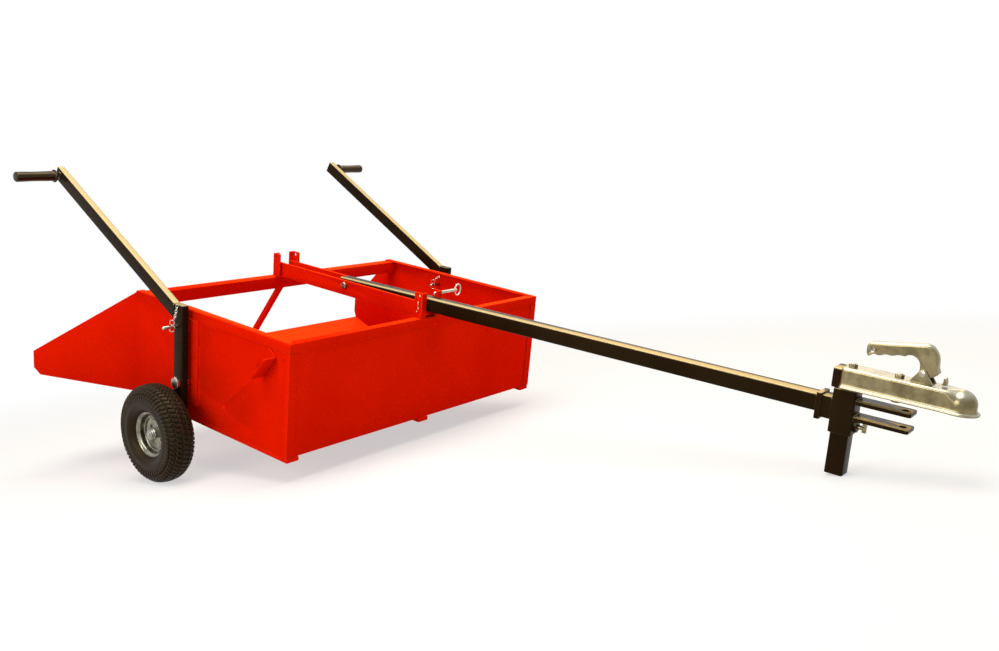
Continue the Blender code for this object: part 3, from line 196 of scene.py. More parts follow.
def tubeRows(width, height, wall, corner, centres, ups, edge=0.0006, capEnd=False):
    # square tube with round corners: section point = centre + x * X + v * up, outside then back inside
    def section(inset, radius):
        return roundedRectangle(width - 2 * inset, height - 2 * inset, radius)

    inCorner = max(corner - wall, edge)
    outer, eased = section(0, corner), section(edge, corner - edge)
    inner, widened = section(wall, inCorner), section(wall - edge, inCorner + edge)
    centres, ups = np.asarray(centres, float), np.asarray(ups, float)
    along = [centres[1] - centres[0], centres[-1] - centres[-2]]
    along = [way / np.linalg.norm(way) for way in along]
    plan = [(eased, centres[0], ups[0]), (outer, centres[0] + along[0] * edge, ups[0])]
    plan += [(outer, centres[i], ups[i]) for i in range(1, len(centres) - 1)]
    plan += [(outer, centres[-1] - along[1] * edge, ups[-1]), (eased, centres[-1], ups[-1])]
    if capEnd:
        # closed by a plate as thick as the wall
        below = centres[-1] - along[1] * wall
        plan += [(eased * 0.0, centres[-1], ups[-1]), (inner * 0.0, below, ups[-1]), (inner, below, ups[-1])]
    else:
        plan += [(widened, centres[-1], ups[-1]), (inner, centres[-1] - along[1] * edge, ups[-1])]
    plan += [(inner, centres[i], ups[i]) for i in range(len(centres) - 2, 0, -1)]
    plan += [(inner, centres[0] + along[0] * edge, ups[0]), (widened, centres[0], ups[0])]
    rows = []
    for ring, centre, up in plan:
        rows.append(centre + ring[:, :1] * (1, 0, 0) + ring[:, 1:] * up)
    return gridSurface(np.array(rows), closeRows=True)


def straightTube(shape, start, end, up, capEnd=False):
    # one section at three places from start to end
    return tubeRows(shape["width"], shape["height"], shape["wall"], shape["corner"],
                    np.linspace(start, end, 3), [up] * 3, capEnd=capEnd)


def wireSurface(line, radius, normal, closed=False, sides=10):
    # a circle carried along a line that lies in one plane: point + r (cos t * across + sin t * normal)
    line, normal = np.asarray(line, float), np.asarray(normal, float)
    if closed:
        ahead, behind = np.roll(line, -1, 0), np.roll(line, 1, 0)
    else:
        ahead = np.concatenate([line[1:], line[-1:]])
        behind = np.concatenate([line[:1], line[:-1]])
    way = ahead - behind
    way /= np.linalg.norm(way, axis=1, keepdims=True)
    across = np.cross(way, normal)
    across /= np.linalg.norm(across, axis=1, keepdims=True)
    ring = circle(radius, sides)
    points = line[:, None] + ring[:, 0, None] * across[:, None] + ring[:, 1, None] * normal
    return gridSurface(points, closeRows=closed, caps=not closed)


def smoothLine(corners, count):
    # Catmull-Rom curve through the corners: each point leans on the two before it and the two after
    corners = np.asarray(corners, float)
    padded = np.concatenate([2 * corners[:1] - corners[1:2], corners, 2 * corners[-1:] - corners[-2:-1]])
    spans = len(padded) - 3
    t = np.linspace(0, spans, count)
    i = np.minimum(t.astype(int), spans - 1)
    f = (t - i)[:, None]
    p0, p1, p2, p3 = padded[i], padded[i + 1], padded[i + 2], padded[i + 3]
    return 0.5 * (2 * p1 + (p2 - p0) * f + (2 * p0 - 5 * p1 + 4 * p2 - p3) * f ** 2
                  + (3 * p1 - p0 - 3 * p2 + p3) * f ** 3)


def bead(start, end, radius, up, pitch=0.004, flat=0.6, ripple=0.12):
    # weld bead: a radius r (1 + ripple sin) carried from start to end, its ends drawn to a point
    start, end, up = (np.asarray(v, float) for v in (start, end, up))
    size = np.linalg.norm(end - start)
    way = (end - start) / size
    up = up - way * (up @ way)
    up /= np.linalg.norm(up)
    across = np.cross(way, up)
    rows = max(12, int(size / pitch * 5))
    s = np.linspace(0, size, rows)
    lead = np.clip(np.minimum(s, size - s) / radius, 0, 1)
    swell = radius * np.sqrt(1 - (1 - lead) ** 2) * (1 + ripple * np.sin(2 * pi * s / pitch))
    ring = circle(1.0, 12)
    points = (start + s[:, None] * way)[:, None] + swell[:, None, None] * (
        ring[:, 0, None] * across + flat * ring[:, 1, None] * up)
    return gridSurface(points)


def beads(runs):
    # runs hold (start, end, radius, up) of each bead
    return joined(*(bead(*run) for run in runs))


def cutRound(piece, name, centre, way, radius, depth):
    # bores the finished mesh with a closed cylinder
    way = Vector(way).normalized()
    turn = np.array(way.to_track_quat("X", "Z").to_matrix())
    rows = revolved([(-depth, 0), (-depth, radius), (depth, radius), (depth, 0)], 36)
    points, faces = gridSurface(rows)
    cutter = inScene(name, bpy.data.meshes.new(name))
    cutter.data.from_pydata((points @ turn.T + np.asarray(centre)).tolist(), [], faces)
    mendMesh(cutter.data)
    boolean = piece.modifiers.new(name, "BOOLEAN")
    boolean.operation, boolean.solver, boolean.object = "DIFFERENCE", "EXACT", cutter
    graph = bpy.context.evaluated_depsgraph_get()
    cut = bpy.data.meshes.new_from_object(piece.evaluated_get(graph))
    piece.modifiers.remove(boolean)
    piece.data = cut
    bpy.data.objects.remove(cutter)


def bevelledCopy(node, material, width, segments=2, limit=30):
    # the CAD shape with its loose triangles merged and its edges rounded
    source = nodes[node]
    piece = inScene(node + "_edged", source.data.copy())
    mendMesh(piece.data, flatten=True)
    piece.data.materials.clear()
    piece.data.materials.append(material)
    piece.data.shade_smooth()
    bevel = piece.modifiers.new("edges", "BEVEL")
    bevel.width, bevel.segments = width, segments
    bevel.limit_method = "ANGLE"
    bevel.angle_limit = radians(limit)
    bevel.harden_normals = True
    bevel.miter_outer = "MITER_ARC"
    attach(piece, source["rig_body"])
    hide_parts(node)


# Finishes

def shaderGroup(name, inputs, outputs):
    # inputs are numbers with their usual values, outputs are numbers
    group = bpy.data.node_groups.new(name, "ShaderNodeTree")
    for label, value in inputs.items():
        socket = group.interface.new_socket(name=label, in_out="INPUT", socket_type="NodeSocketFloat")
        socket.default_value = value
    for label in outputs:
        group.interface.new_socket(name=label, in_out="OUTPUT", socket_type="NodeSocketFloat")
    return group, group.nodes.new("NodeGroupInput"), group.nodes.new("NodeGroupOutput")


def node(tree, kind, inputs=(), **settings):
    made = tree.nodes.new("ShaderNode" + kind)
    for key, value in settings.items():
        setattr(made, key, value)
    for socket, value in dict(inputs).items():
        if isinstance(value, bpy.types.NodeSocket):
            tree.links.new(value, made.inputs[socket])
        else:
            made.inputs[socket].default_value = value
    return made


def feed(tree, made, **values):
    for socket, value in values.items():
        tree.links.new(value, made.inputs[socket.replace("_", " ")])


def noiseOf(tree, vector, scale, detail=3.0, roughness=0.5, stretch=None):
    if stretch:
        vector = node(tree, "Mapping", {"Vector": vector, "Scale": stretch}).outputs["Vector"]
    values = {"Vector": vector, "Scale": scale, "Detail": detail, "Roughness": roughness}
    return node(tree, "TexNoise", values).outputs["Fac"]


def ramp(tree, value, low, high, toLow=0.0, toHigh=1.0):
    limits = {"Value": value, "From Min": low, "From Max": high, "To Min": toLow, "To Max": toHigh}
    return node(tree, "MapRange", limits, interpolation_type="SMOOTHSTEP").outputs["Result"]


def sums(tree, operation, a, b):
    return node(tree, "Math", {0: a, 1: b}, operation=operation).outputs[0]


def times(tree, a, b):
    return sums(tree, "MULTIPLY", a, b)


def plus(tree, a, b):
    return sums(tree, "ADD", a, b)


def mixed(tree, share, a, b):
    return node(tree, "Mix", {0: share, 6: a, 7: b}, data_type="RGBA").outputs[2]


def objectPlace(tree):
    return node(tree, "TexCoord").outputs["Object"]


def surfaceNormal(tree):
    return node(tree, "NewGeometry").outputs["Normal"]


def makeWearAndHighlightGroup():
    # edges, used for worn paint, dust on rubber and a painted edge highlight: where the normal turns within
    # the edge size, broken up by noise;
    # scuffs: fine stretched noise kept at its peaks
    tree, given, out = shaderGroup("wearAndHighlightMasks", {"Edge Size": 0.002, "Scuff Scale": 40.0},
                                   ("Edge", "Scuff", "Patch"))
    place = objectPlace(tree)
    rounded = node(tree, "Bevel", {"Radius": given.outputs["Edge Size"]}, samples=4)
    along = node(tree, "VectorMath", {0: rounded.outputs["Normal"], 1: surfaceNormal(tree)},
                 operation="DOT_PRODUCT").outputs["Value"]
    turned = ramp(tree, along, 0.995, 0.90)
    broken = ramp(tree, noiseOf(tree, place, 55.0, 4.0, 0.6), 0.30, 0.60, 0.35, 1.0)
    stretched = node(tree, "Mapping", {"Vector": place, "Scale": (1.0, 0.12, 1.0),
                                       "Rotation": (0.3, 0.0, 0.5)}).outputs["Vector"]
    fine = noiseOf(tree, stretched, given.outputs["Scuff Scale"], 5.0, 0.65)
    feed(tree, out, Edge=times(tree, turned, broken), Scuff=ramp(tree, fine, 0.66, 0.74),
         Patch=noiseOf(tree, place, 5.0, 3.0, 0.55))
    return tree


def makePeelGroup():
    # height of sprayed paint: a fine even ripple over slow waves
    tree, given, out = shaderGroup("sprayedSkin", {"Scale": 260.0}, ("Height",))
    place = objectPlace(tree)
    peel = noiseOf(tree, place, given.outputs["Scale"], 1.5)
    slow = noiseOf(tree, place, 18.0, 2.0)
    feed(tree, out, Height=plus(tree, peel, times(tree, slow, 1.5)))
    return tree


def makeDustAndSheenGroup():
    # dust lies on what faces up, thicker in patches; faced is the plain upward share, which also places the
    # painted top sheen
    tree, given, out = shaderGroup("dustAndSheen", {"Amount": 0.2}, ("Mask", "Faced"))
    up = node(tree, "SeparateXYZ", {0: surfaceNormal(tree)}).outputs["Z"]
    faced = ramp(tree, up, 0.25, 0.80)
    patch = ramp(tree, noiseOf(tree, objectPlace(tree), 30.0, 5.0, 0.6), 0.35, 0.75)
    feed(tree, out, Faced=faced, Mask=times(tree, times(tree, faced, patch), given.outputs["Amount"]))
    return tree


wearAndHighlightMasks, sprayedSkin, dustAndSheen = makeWearAndHighlightGroup(), makePeelGroup(), makeDustAndSheenGroup()


def setSockets(made, values):
    for socket, value in values.items():
        made.inputs[socket.replace("_", " ")].default_value = value


def newMaterial(name, **fixed):
    material = bpy.data.materials.new(name)
    material.use_nodes = True
    shader = material.node_tree.nodes["Principled BSDF"]
    setSockets(shader, fixed)
    return material, material.node_tree, shader


def placed(tree, group, **values):
    made = tree.nodes.new("ShaderNodeGroup")
    made.node_tree = group
    setSockets(made, values)
    return made.outputs


def bumped(tree, shader, height, distance, strength):
    bump = node(tree, "Bump", {"Height": height, "Distance": distance, "Strength": strength})
    feed(tree, shader, Normal=bump.outputs["Normal"])


# each paint's tint for tops is a painted top highlight, and its edge tint is partly a painted edge highlight
paints = {
    "red": {"deep": (0.600, 0.0080, 0.0003, 1.0), "light": (0.660, 0.0100, 0.0004, 1.0),
            "edge": (0.900, 0.0800, 0.0150, 1.0), "dust": (0.700, 0.1100, 0.0500, 1.0),
            "paintedTopSheen": (1.000, 0.0470, 0.0036, 1.0), "gloss": (1.0, 0.32, 0.13, 1.0)},
    "black": {"deep": (0.0085, 0.0042, 0.0012, 1.0), "light": (0.0150, 0.0080, 0.0028, 1.0),
              "edge": (0.1300, 0.0950, 0.0520, 1.0), "dust": (0.1200, 0.0900, 0.0500, 1.0),
              "paintedTopSheen": (0.420, 0.3350, 0.1750, 1.0), "gloss": (1.0, 0.72, 0.38, 1.0)},
}


def sprayPaint(name, tints, rough, dustiness, shine, metal, glow, mirror=0.0):
    # tops take a warmer colour between two viewing angles, a painted reflection as under a warm ceiling;
    # edges take a lighter tint, partly worn paint and partly a painted edge highlight
    material, tree, shader = newMaterial(name, Specular_Tint=tints["gloss"], Specular_IOR_Level=shine,
                                         Metallic=metal)
    wearAndHighlight = placed(tree, wearAndHighlightMasks, Scuff_Scale=34.0)
    dustAndSheenMasks = placed(tree, dustAndSheen, Amount=dustiness)
    colour = mixed(tree, ramp(tree, wearAndHighlight["Patch"], 0.3, 0.7), tints["deep"], tints["light"])
    flat = node(tree, "LayerWeight", {"Blend": 0.5}).outputs["Facing"]
    # painted top sheen: up-facing faces seen between the two viewing angles take the warm top tint; the same
    # share also drives metallic and roughness
    sheenMask = times(tree, ramp(tree, flat, *glow), dustAndSheenMasks["Faced"])
    colour = mixed(tree, sheenMask, colour, tints["paintedTopSheen"])
    if mirror:
        feed(tree, shader, Metallic=times(tree, sheenMask, mirror))
    # painted edge highlight, partly worn paint: rounded edges are mixed towards the lighter edge tint
    colour = mixed(tree, times(tree, wearAndHighlight["Edge"], 0.45), colour, tints["edge"])
    colour = mixed(tree, times(tree, wearAndHighlight["Scuff"], 0.05), colour, tints["edge"])
    colour = mixed(tree, dustAndSheenMasks["Mask"], colour, tints["dust"])
    level = ramp(tree, noiseOf(tree, objectPlace(tree), 60.0, 4.0), 0.3, 0.7, *rough)
    for mask, share in ((wearAndHighlight["Scuff"], 0.08), (dustAndSheenMasks["Mask"], 0.5), (sheenMask, mirror * 0.5)):
        level = plus(tree, level, times(tree, mask, share))
    feed(tree, shader, Base_Color=colour, Roughness=level)
    bumped(tree, shader, placed(tree, sprayedSkin)["Height"], 0.00010, 0.16)
    return material


def platedMetal(name, dark, light, bright, rough, blotch, topHighlightShare):
    # cloudy plating with a fine spangle; tops take a pale painted highlight tint by the given share
    material, tree, shader = newMaterial(name, Metallic=1.0)
    place = objectPlace(tree)
    cloud = noiseOf(tree, place, blotch, 5.0, 0.62)
    spangle = node(tree, "TexVoronoi", {"Vector": place, "Scale": blotch * 9.0}).outputs["Color"]
    grain = node(tree, "SeparateColor", {0: spangle}).outputs[0]
    level = plus(tree, ramp(tree, cloud, 0.32, 0.68), times(tree, grain, 0.12))
    colour = mixed(tree, level, dark, light)
    # painted highlight: up-facing faces, and then the edges, are mixed towards the pale highlight tint
    colour = mixed(tree, times(tree, placed(tree, dustAndSheen)["Faced"], topHighlightShare), colour, bright)
    colour = mixed(tree, times(tree, placed(tree, wearAndHighlightMasks, Scuff_Scale=90.0)["Edge"], 0.6), colour, bright)
    scratch = noiseOf(tree, place, 180.0, 3.0, 0.6, (1.0, 0.15, 1.0))
    roughness = plus(tree, ramp(tree, cloud, 0.3, 0.7, *rough), times(tree, scratch, 0.08))
    feed(tree, shader, Base_Color=colour, Roughness=roughness)
    bumped(tree, shader, plus(tree, scratch, cloud), 0.00008, 0.4)
    return material


def mouldedRubber(name, dark, light, dust, rough, shine, dustiness, grain, depth):
    # dusty edges and specks over a patchy dark base, with a fine moulded grain
    material, tree, shader = newMaterial(name, Specular_IOR_Level=shine, Specular_Tint=(1.0, 0.70, 0.38, 1))
    place = objectPlace(tree)
    patch = noiseOf(tree, place, 14.0, 5.0, 0.6)
    colour = mixed(tree, ramp(tree, patch, 0.3, 0.7), dark, light)
    worn = placed(tree, wearAndHighlightMasks, Scuff_Scale=60.0)["Edge"]
    colour = mixed(tree, times(tree, worn, dustiness), colour, dust)
    speck = ramp(tree, noiseOf(tree, place, 240.0, 3.0), 0.56, 0.72)
    colour = mixed(tree, times(tree, speck, dustiness * 0.6), colour, dust)
    feed(tree, shader, Base_Color=colour, Roughness=ramp(tree, patch, 0.3, 0.7, *rough))
    bumped(tree, shader, noiseOf(tree, place, grain, 4.0, 0.6), depth, 0.6)
    return material


print("Mixing the finishes")
redPaint = sprayPaint("sprayedRed", paints["red"], rough=(0.26, 0.34), dustiness=0.03, shine=0.0,
                      metal=0.22, glow=(0.60, 0.80))
blackPaint = sprayPaint("sprayedBlack", paints["black"], rough=(0.22, 0.32), dustiness=0.02, shine=0.06,
                        metal=0.0, glow=(0.796, 0.738), mirror=0.50)
zincPlate = platedMetal("yellowZinc", dark=(0.150, 0.122, 0.062, 1), light=(0.270, 0.226, 0.124, 1),
                        bright=(0.74, 0.75, 0.68, 1), rough=(0.18, 0.32), blotch=26.0, topHighlightShare=0.32)
wheelZinc = platedMetal("whiteZinc", dark=(0.26, 0.25, 0.215, 1), light=(0.42, 0.41, 0.37, 1),
                        bright=(0.80, 0.79, 0.76, 1), rough=(0.18, 0.34), blotch=30.0, topHighlightShare=0.2)
rimZinc = platedMetal("rimZinc", dark=(0.105, 0.105, 0.080, 1), light=(0.320, 0.305, 0.240, 1),
                      bright=(0.90, 0.86, 0.74, 1), rough=(0.14, 0.25), blotch=34.0, topHighlightShare=0.1)
brightSteel = platedMetal("brightWire", dark=(0.30, 0.26, 0.20, 1), light=(0.48, 0.43, 0.34, 1),
                          bright=(0.90, 0.88, 0.84, 1), rough=(0.15, 0.30), blotch=60.0, topHighlightShare=0.3)
gripRubber = mouldedRubber("gripRubber", dark=(0.0060, 0.0034, 0.0014, 1), light=(0.0120, 0.0075, 0.0036, 1),
                           dust=(0.10, 0.075, 0.045, 1), rough=(0.16, 0.26), shine=0.34, dustiness=0.06,
                           grain=420.0, depth=0.0001)
treadRubber = mouldedRubber("treadRubber", dark=(0.0050, 0.0030, 0.0012, 1),
                            light=(0.0110, 0.0070, 0.0032, 1), dust=(0.085, 0.066, 0.045, 1),
                            rough=(0.38, 0.52), shine=0.20, dustiness=0.24, grain=300.0, depth=0.0002)


# Box

def pair(name):
    return [name + "_" + label for label, side in sides]


print("Box")
# width of the rounding and the nodes that have it
boxEdges = (
    (0.0007, ["front_wall"] + pair("side_sheet") + ["floor_plate"]),
    (0.0012, ["front_rail"] + pair("side_rail") + pair("corner_post") + pair("rest_saddle")
     + pair("lever_plate") + ["runner_left", "runner_middle", "runner_right"] + pair("channel_side")),
    (0.0014, ["rear_crossmember", "centre_strut"]),
)
for width, names in boxEdges:
    for name in names:
        bevelledCopy(name, redPaint, width)

boxWelds = {
    "halfWidth": 0.520, "length": 0.680, "height": 0.320, "skin": 0.5167, "radius": 0.0028,
    "mitre": 0.022, "angleLeg": 0.025, "railStitch": 0.024, "postStitch": 0.018,
    "plateEdges": ((0.379, -1), (0.469, 1)), "plateRuns": ((0.060, 0.125), (0.165, 0.225), (0.250, 0.292)),
    "railStitches": (0.05, 0.19, 0.54, 0.65), "postStitches": (0.040, 0.120, 0.200, 0.265),
    "rearRun": (-0.030, -0.008), "channelOut": 0.0295, "channelRear": 0.657,
    "channelFoot": ((0.006, 0.024), (0.637, 0.654)), "channelRun": (0.008, 0.044), "channelInset": 0.0028,
    "strutHalf": 0.008, "strutTop": (0.668, 0.648, 0.2786), "strutFoot": (0.840, 0.860, 0.0152),
}


def boxWeldRuns():
    # straight beads along the joints of the box, the lever plates, the drawbar channel and the strut
    w, r, rim = boxWelds, boxWelds["radius"], boxWelds["height"]
    runs = []
    for side in (-1, 1):
        corner, skin = side * w["halfWidth"] * 0.999, side * w["skin"]
        inner = (corner - side * w["mitre"], 0.023, rim)
        runs.append(((corner, 0.0002, rim - 0.001), inner, r * 0.5, (0, 0, 1)))
        for y, way in w["plateEdges"]:
            runs += [((skin, y, low), (skin, y, high), r, (side, way, 0)) for low, high in w["plateRuns"]]
        for y in w["railStitches"]:
            x, z = skin - side * 0.0006, rim - w["angleLeg"]
            runs.append(((x, y, z), (x, y + w["railStitch"], z), r * 0.7, (side, 0, -1)))
        for z in w["postStitches"]:
            y = w["angleLeg"]
            runs.append(((skin, y, z), (skin, y, z + w["postStitch"]), r * 0.7, (side, 1, 0)))
        x, y = skin - side * 0.001, w["length"] - 0.002
        low, high = w["rearRun"]
        runs.append(((x, y, rim + low), (x, y, rim + high), r, (side, 1, 0)))
        x = side * w["channelOut"]
        runs += [((x, front, rim), (x, rear, rim), r * 0.8, (side, 0, 1)) for front, rear in w["channelFoot"]]
        low, high = w["channelRun"]
        for y, way in ((w["channelInset"], 1), (w["channelRear"] - w["channelInset"], -1)):
            runs.append(((x, y, rim + low), (x, y, rim + high), r * 0.6, (side, way, 0)))
    for side in (-1, 1):
        x = side * w["strutHalf"]
        for (front, rear, z), share, up in ((w["strutTop"], 0.6, -1), (w["strutFoot"], 0.7, 1)):
            runs.append(((x, front, z), (x, rear, z), r * share, (side, 0, up)))
    return runs


meshPiece("boxWelds", beads(boxWeldRuns()), machineFrame, redPaint, "scoop")


# Drawbar, sleeve and post

print("Drawbar and hitch post")
barTube = {"width": 0.040, "height": 0.040, "wall": 0.003, "corner": 0.0050, "front": -1.482, "rear": 0.032}
barSurface = straightTube(barTube, (0, barTube["rear"], 0), (0, barTube["front"], 0), (0, 0, 1))
meshPiece("drawbarTube", barSurface, barFrame, blackPaint, "drawbar", ["drawbar"])
bevelledCopy("drawbar_collar", blackPaint, 0.0014, 3)
bevelledCopy("clevis_bar_upper", blackPaint, 0.0010, 3)
bevelledCopy("clevis_bar_lower", blackPaint, 0.0010, 3)

sleeveTube = {"width": 0.050, "height": 0.050, "wall": 0.0045, "corner": 0.0060, "low": -0.056,
              "high": 0.043, "screwDown": 0.037, "bossRadius": 0.013, "bossLength": 0.008,
              "bossBore": 0.0054, "bossEdge": 0.001}


def uprightTube(shape, capEnd=False):
    return straightTube(shape, (0, 0, shape["low"]), (0, 0, shape["high"]), (0, -1, 0), capEnd)


def sleeveSurface():
    # the tube, with a short turned boss on its front whose edge is eased
    s = sleeveTube
    face, radius, bore, edge = s["width"] / 2 - 0.0005, s["bossRadius"], s["bossBore"], s["bossEdge"]
    end = face + s["bossLength"]
    boss = revolved([(-face, bore), (-face, radius), (-end + edge, radius), (-end, radius - edge),
                     (-end, bore)], 40, 1)
    boss[..., 2] -= s["screwDown"]
    return joined(uprightTube(s), gridSurface(boss, closeRows=True))


meshPiece("sleeveTube", sleeveSurface(), hitchFrame, blackPaint, "drawbar", ["hitch_sleeve"])

postTube = {"width": 0.040, "height": 0.040, "wall": 0.004, "corner": 0.0045, "low": -0.150, "high": 0.045}
stubTube = {"width": 0.049, "height": 0.045, "wall": 0.004, "corner": 0.0060, "rear": 0.0305,
            "front": -0.1215, "middle": 0.0658}
stub = straightTube(stubTube, (0, stubTube["rear"], stubTube["middle"]),
                    (0, stubTube["front"], stubTube["middle"]), (0, 0, 1))
meshPiece("hitchPostTubes", joined(uprightTube(postTube), stub), hitchFrame, blackPaint, "hitch",
          ["hitch_post"])

hitchWelds = {"radius": 0.0030, "half": 0.020, "end": 0.018, "collar": -1.4823, "sleeveBack": -1.5157,
              "sleeveLow": -0.028, "sleeveFront": -1.5663, "clevisHalf": 0.022,
              "clevisTops": (0.024, -0.012), "clevisBar": 0.008, "stub": 0.0437}


def barWeldRuns():
    # beads round the collar, the sleeve and the clevis bars
    h, r, half, end = hitchWelds, hitchWelds["radius"], hitchWelds["half"], hitchWelds["end"]
    runs = []
    for side in (-1, 1):
        for y, low in ((h["collar"], -end), (h["sleeveBack"], h["sleeveLow"])):
            runs.append(((side * half, y, low), (side * half, y, end), r, (side, 1, 0)))
    for y in (h["collar"], h["sleeveBack"]):
        runs.append(((-end, y, half), (end, y, half), r, (0, 1, 1)))
    for top in h["clevisTops"]:
        for z, up in ((top, 1), (top - h["clevisBar"], -1)):
            x, y = h["clevisHalf"], h["sleeveFront"]
            runs.append(((-x, y, z), (x, y, z), r * 0.8, (0, -1, up)))
    return runs


def postWeldRuns():
    # beads where the stub sits on the post
    h = hitchWelds
    half, end, z, r = h["half"], h["end"], h["stub"], h["radius"]
    runs = [((x, end, z), (x, -end, z), r * 0.6, (np.sign(x), 0, -1)) for x in (-half, half)]
    return runs + [((-end, -half, z), (end, -half, z), r * 0.6, (0, -1, -1))]


meshPiece("barWelds", beads(barWeldRuns()), barFrame, blackPaint, "drawbar")
meshPiece("postWelds", beads(postWeldRuns()), hitchFrame, blackPaint, "hitch")


# Levers and grips

print("Levers and grips")
leverTube = {
    "width": 0.021, "height": 0.040, "wall": 0.0025, "corner": 0.0035, "low": -0.150, "high": 0.221,
    "slope": radians(26.3), "reach": 0.668, "gripIn": 0.020, "gripNeck": 0.014, "gripBar": 0.010,
    "lockUp": 0.162, "lockHole": 0.0054, "kneeBead": 0.0026, "sideBead": 0.0022, "gripBead": 0.0018,
}
gripShape = {
    "length": 0.120, "radius": 0.0150, "collar": 0.0190, "collarWide": 0.0045, "waist": 0.0142,
    "endRound": 0.0045,
}


def gripSpot():
    # where the slope's middle line, less the grip's inset, ends
    t, lean = leverTube, leverTube["slope"]
    half, reach = t["height"] / 2, t["reach"] - t["gripIn"]
    return np.array([0, half * (1 + np.sin(lean)) + reach * np.cos(lean),
                     t["high"] - half * np.cos(lean) + reach * np.sin(lean)])


def leverSurface(side):
    # a capped post, a sloping tube cut upright against it, and the round bar of the grip
    t = leverTube
    half, lean = t["height"] / 2, t["slope"]
    way, over = np.array([0, np.cos(lean), np.sin(lean)]), np.array([0, -np.sin(lean), np.cos(lean)])
    start = np.array([0, half - 0.0003, t["high"] - half / np.cos(lean) - 0.0001])
    end = np.array([0, half, t["high"]]) + way * t["reach"] - over * half
    slope = tubeRows(t["width"], t["height"], t["wall"], t["corner"],
                     [start, start + 0.5 * (end - start), end], [(0, 0, 1 / np.cos(lean)), over, over])
    inner, outer = t["width"] / 2 - 0.001, t["width"] / 2 + t["gripNeck"] + 0.004
    bar = revolved([(side * inner, 0), (side * inner, t["gripBar"]), (side * outer, t["gripBar"]),
                    (side * outer, 0)], 32)
    return joined(uprightTube(t, capEnd=True), slope, gridSurface(bar + gripSpot()))


def gripSurface(side):
    # turned sleeve: a rim by the lever, a faint waist, a closed rounded end
    g, start = gripShape, leverTube["width"] / 2 + leverTube["gripNeck"]
    end, r, c = start + g["length"], g["radius"], g["collar"]
    wide = start + g["collarWide"]
    rim = [(start, leverTube["gripBar"] * 0.98), (start, c - 0.0012), (start + 0.0008, c),
           (wide - 0.0008, c), (wide, c - 0.0010), (wide + 0.0012, r + 0.0012), (wide + 0.0040, r)]
    along = np.linspace(start + 0.014, end - g["endRound"] - 0.004, 24)
    share = (along - along[0]) / (along[-1] - along[0])
    body = r - (r - g["waist"]) * np.sin(pi * share) ** 2
    nose = circle(g["endRound"], 8, pi / 2, -pi / 2) + (end - g["endRound"], r - g["endRound"])
    profile = rim + list(zip(along, body)) + [tuple(p) for p in nose]
    profile += [(end + 0.0003, (r - g["endRound"]) * 0.5), (end + 0.0004, 0)]
    profile = [(side * a, b) for a, b in [(start + 0.002, 0)] + profile]
    return gridSurface(revolved(profile, 48) + gripSpot())


def leverWeldSurfaces(side):
    # beads at the knee, up its sides and round the grip's bar
    t = leverTube
    half, out, knee = t["height"] / 2, t["width"] / 2, t["high"]
    low = knee - t["height"] / np.cos(t["slope"])
    runs = []
    for x in (-out, out):
        runs.append(((x, half, low + 0.004), (x, half, knee - 0.002), t["sideBead"], (np.sign(x), 1, 0)))
    out -= 0.002
    for y, z, up in ((half + 0.0005, knee - 0.0005, (0, 0.2, 1)), (half, low, (0, 1, -1))):
        runs.append(((-out, y, z), (out, y, z), t["kneeBead"], up))
    ring = revolved([(side * (t["width"] / 2 + 0.0004), t["gripBar"] + 0.0005)], 40)[0] + gripSpot()
    return joined(beads(runs), wireSurface(ring, t["gripBead"], (1, 0, 0), closed=True))


for label, side in sides:
    at = sideFrame("leverPivot", side)
    body = "lever_" + label
    tubes = meshPiece("leverTubes_" + label, leverSurface(side), at, blackPaint, body, ["lever_" + label])
    lock = toWorld((0, 0, leverTube["lockUp"]), at)
    cutRound(tubes, "lockHole", lock, (1, 0, 0), leverTube["lockHole"], leverTube["width"] * 2)
    meshPiece("leverWelds_" + label, leverWeldSurfaces(side), at, blackPaint, body)
    meshPiece("gripSleeve_" + label, gripSurface(side), at, gripRubber, body, ["lever_grip_" + label])
    bevelledCopy("axle_" + label, wheelZinc, 0.0006)
    bevelledCopy("pivot_bolt_" + label, wheelZinc, 0.0008)
bevelledCopy("drawbar_bolt", zincPlate, 0.0007)


# Wheels

print("Wheels")
tyreShape = {
    "outer": 0.1375, "width": 0.082, "bead": 0.0585, "power": 2 / 2.5, "beadAngle": radians(64),
    "wall": 0.005, "around": 600, "section": 78, "treadDepth": 0.0038, "pitches": 60, "ribs": 7,
    "treadReach": 0.94, "zigzag": 0.16, "stagger": 0.5, "alongGroove": (0.09, 0.18),
    "sideGroove": (0.072, 0.15), "fade": (0.80, 1.04), "sunk": 0.5, "shoulder": (0.60, 0.72),
    "treadFrom": 0.62, "crownShare": 0.66,
}
rimShape = {
    "segments": 96, "hub": 0.0150, "disc": 0.0330, "well": 0.0415, "seat": 0.0545, "flange": 0.0630,
    "edge": 0.0200, "wall": 0.0018, "holes": 4, "holeTurn": 0.35, "holeAt": 0.0270, "holeRadius": 0.0055,
}
hubShape = {"half": 0.022, "radius": 0.0155, "bore": 0.0086, "groove": 0.001}


def smoothStep(value, low, high):
    t = np.clip((value - low) / (high - low), 0, 1)
    return t * t * (3 - 2 * t)


def treadHeight(turn, across):
    # blocks in staggered rows: depth times (along * aside - 1), faded to an even sink on the shoulder
    s = tyreShape
    reach = np.abs(across) / s["treadReach"]
    rib = (across / s["treadReach"] + 1) / 2 * s["ribs"]
    row = np.floor(rib)
    inRib = rib - row
    lap = turn / (2 * pi) * s["pitches"] + s["stagger"] * (row % 2) + s["zigzag"] * np.sin(2 * pi * rib)
    inLap = lap - np.floor(lap)
    along = smoothStep(np.minimum(inLap, 1 - inLap), *s["alongGroove"])
    aside = smoothStep(np.minimum(inRib, 1 - inRib), *s["sideGroove"])
    fade = 1 - smoothStep(reach, *s["fade"])
    return ((along * aside - 1) * fade - (1 - fade) * s["sunk"]) * s["treadDepth"]


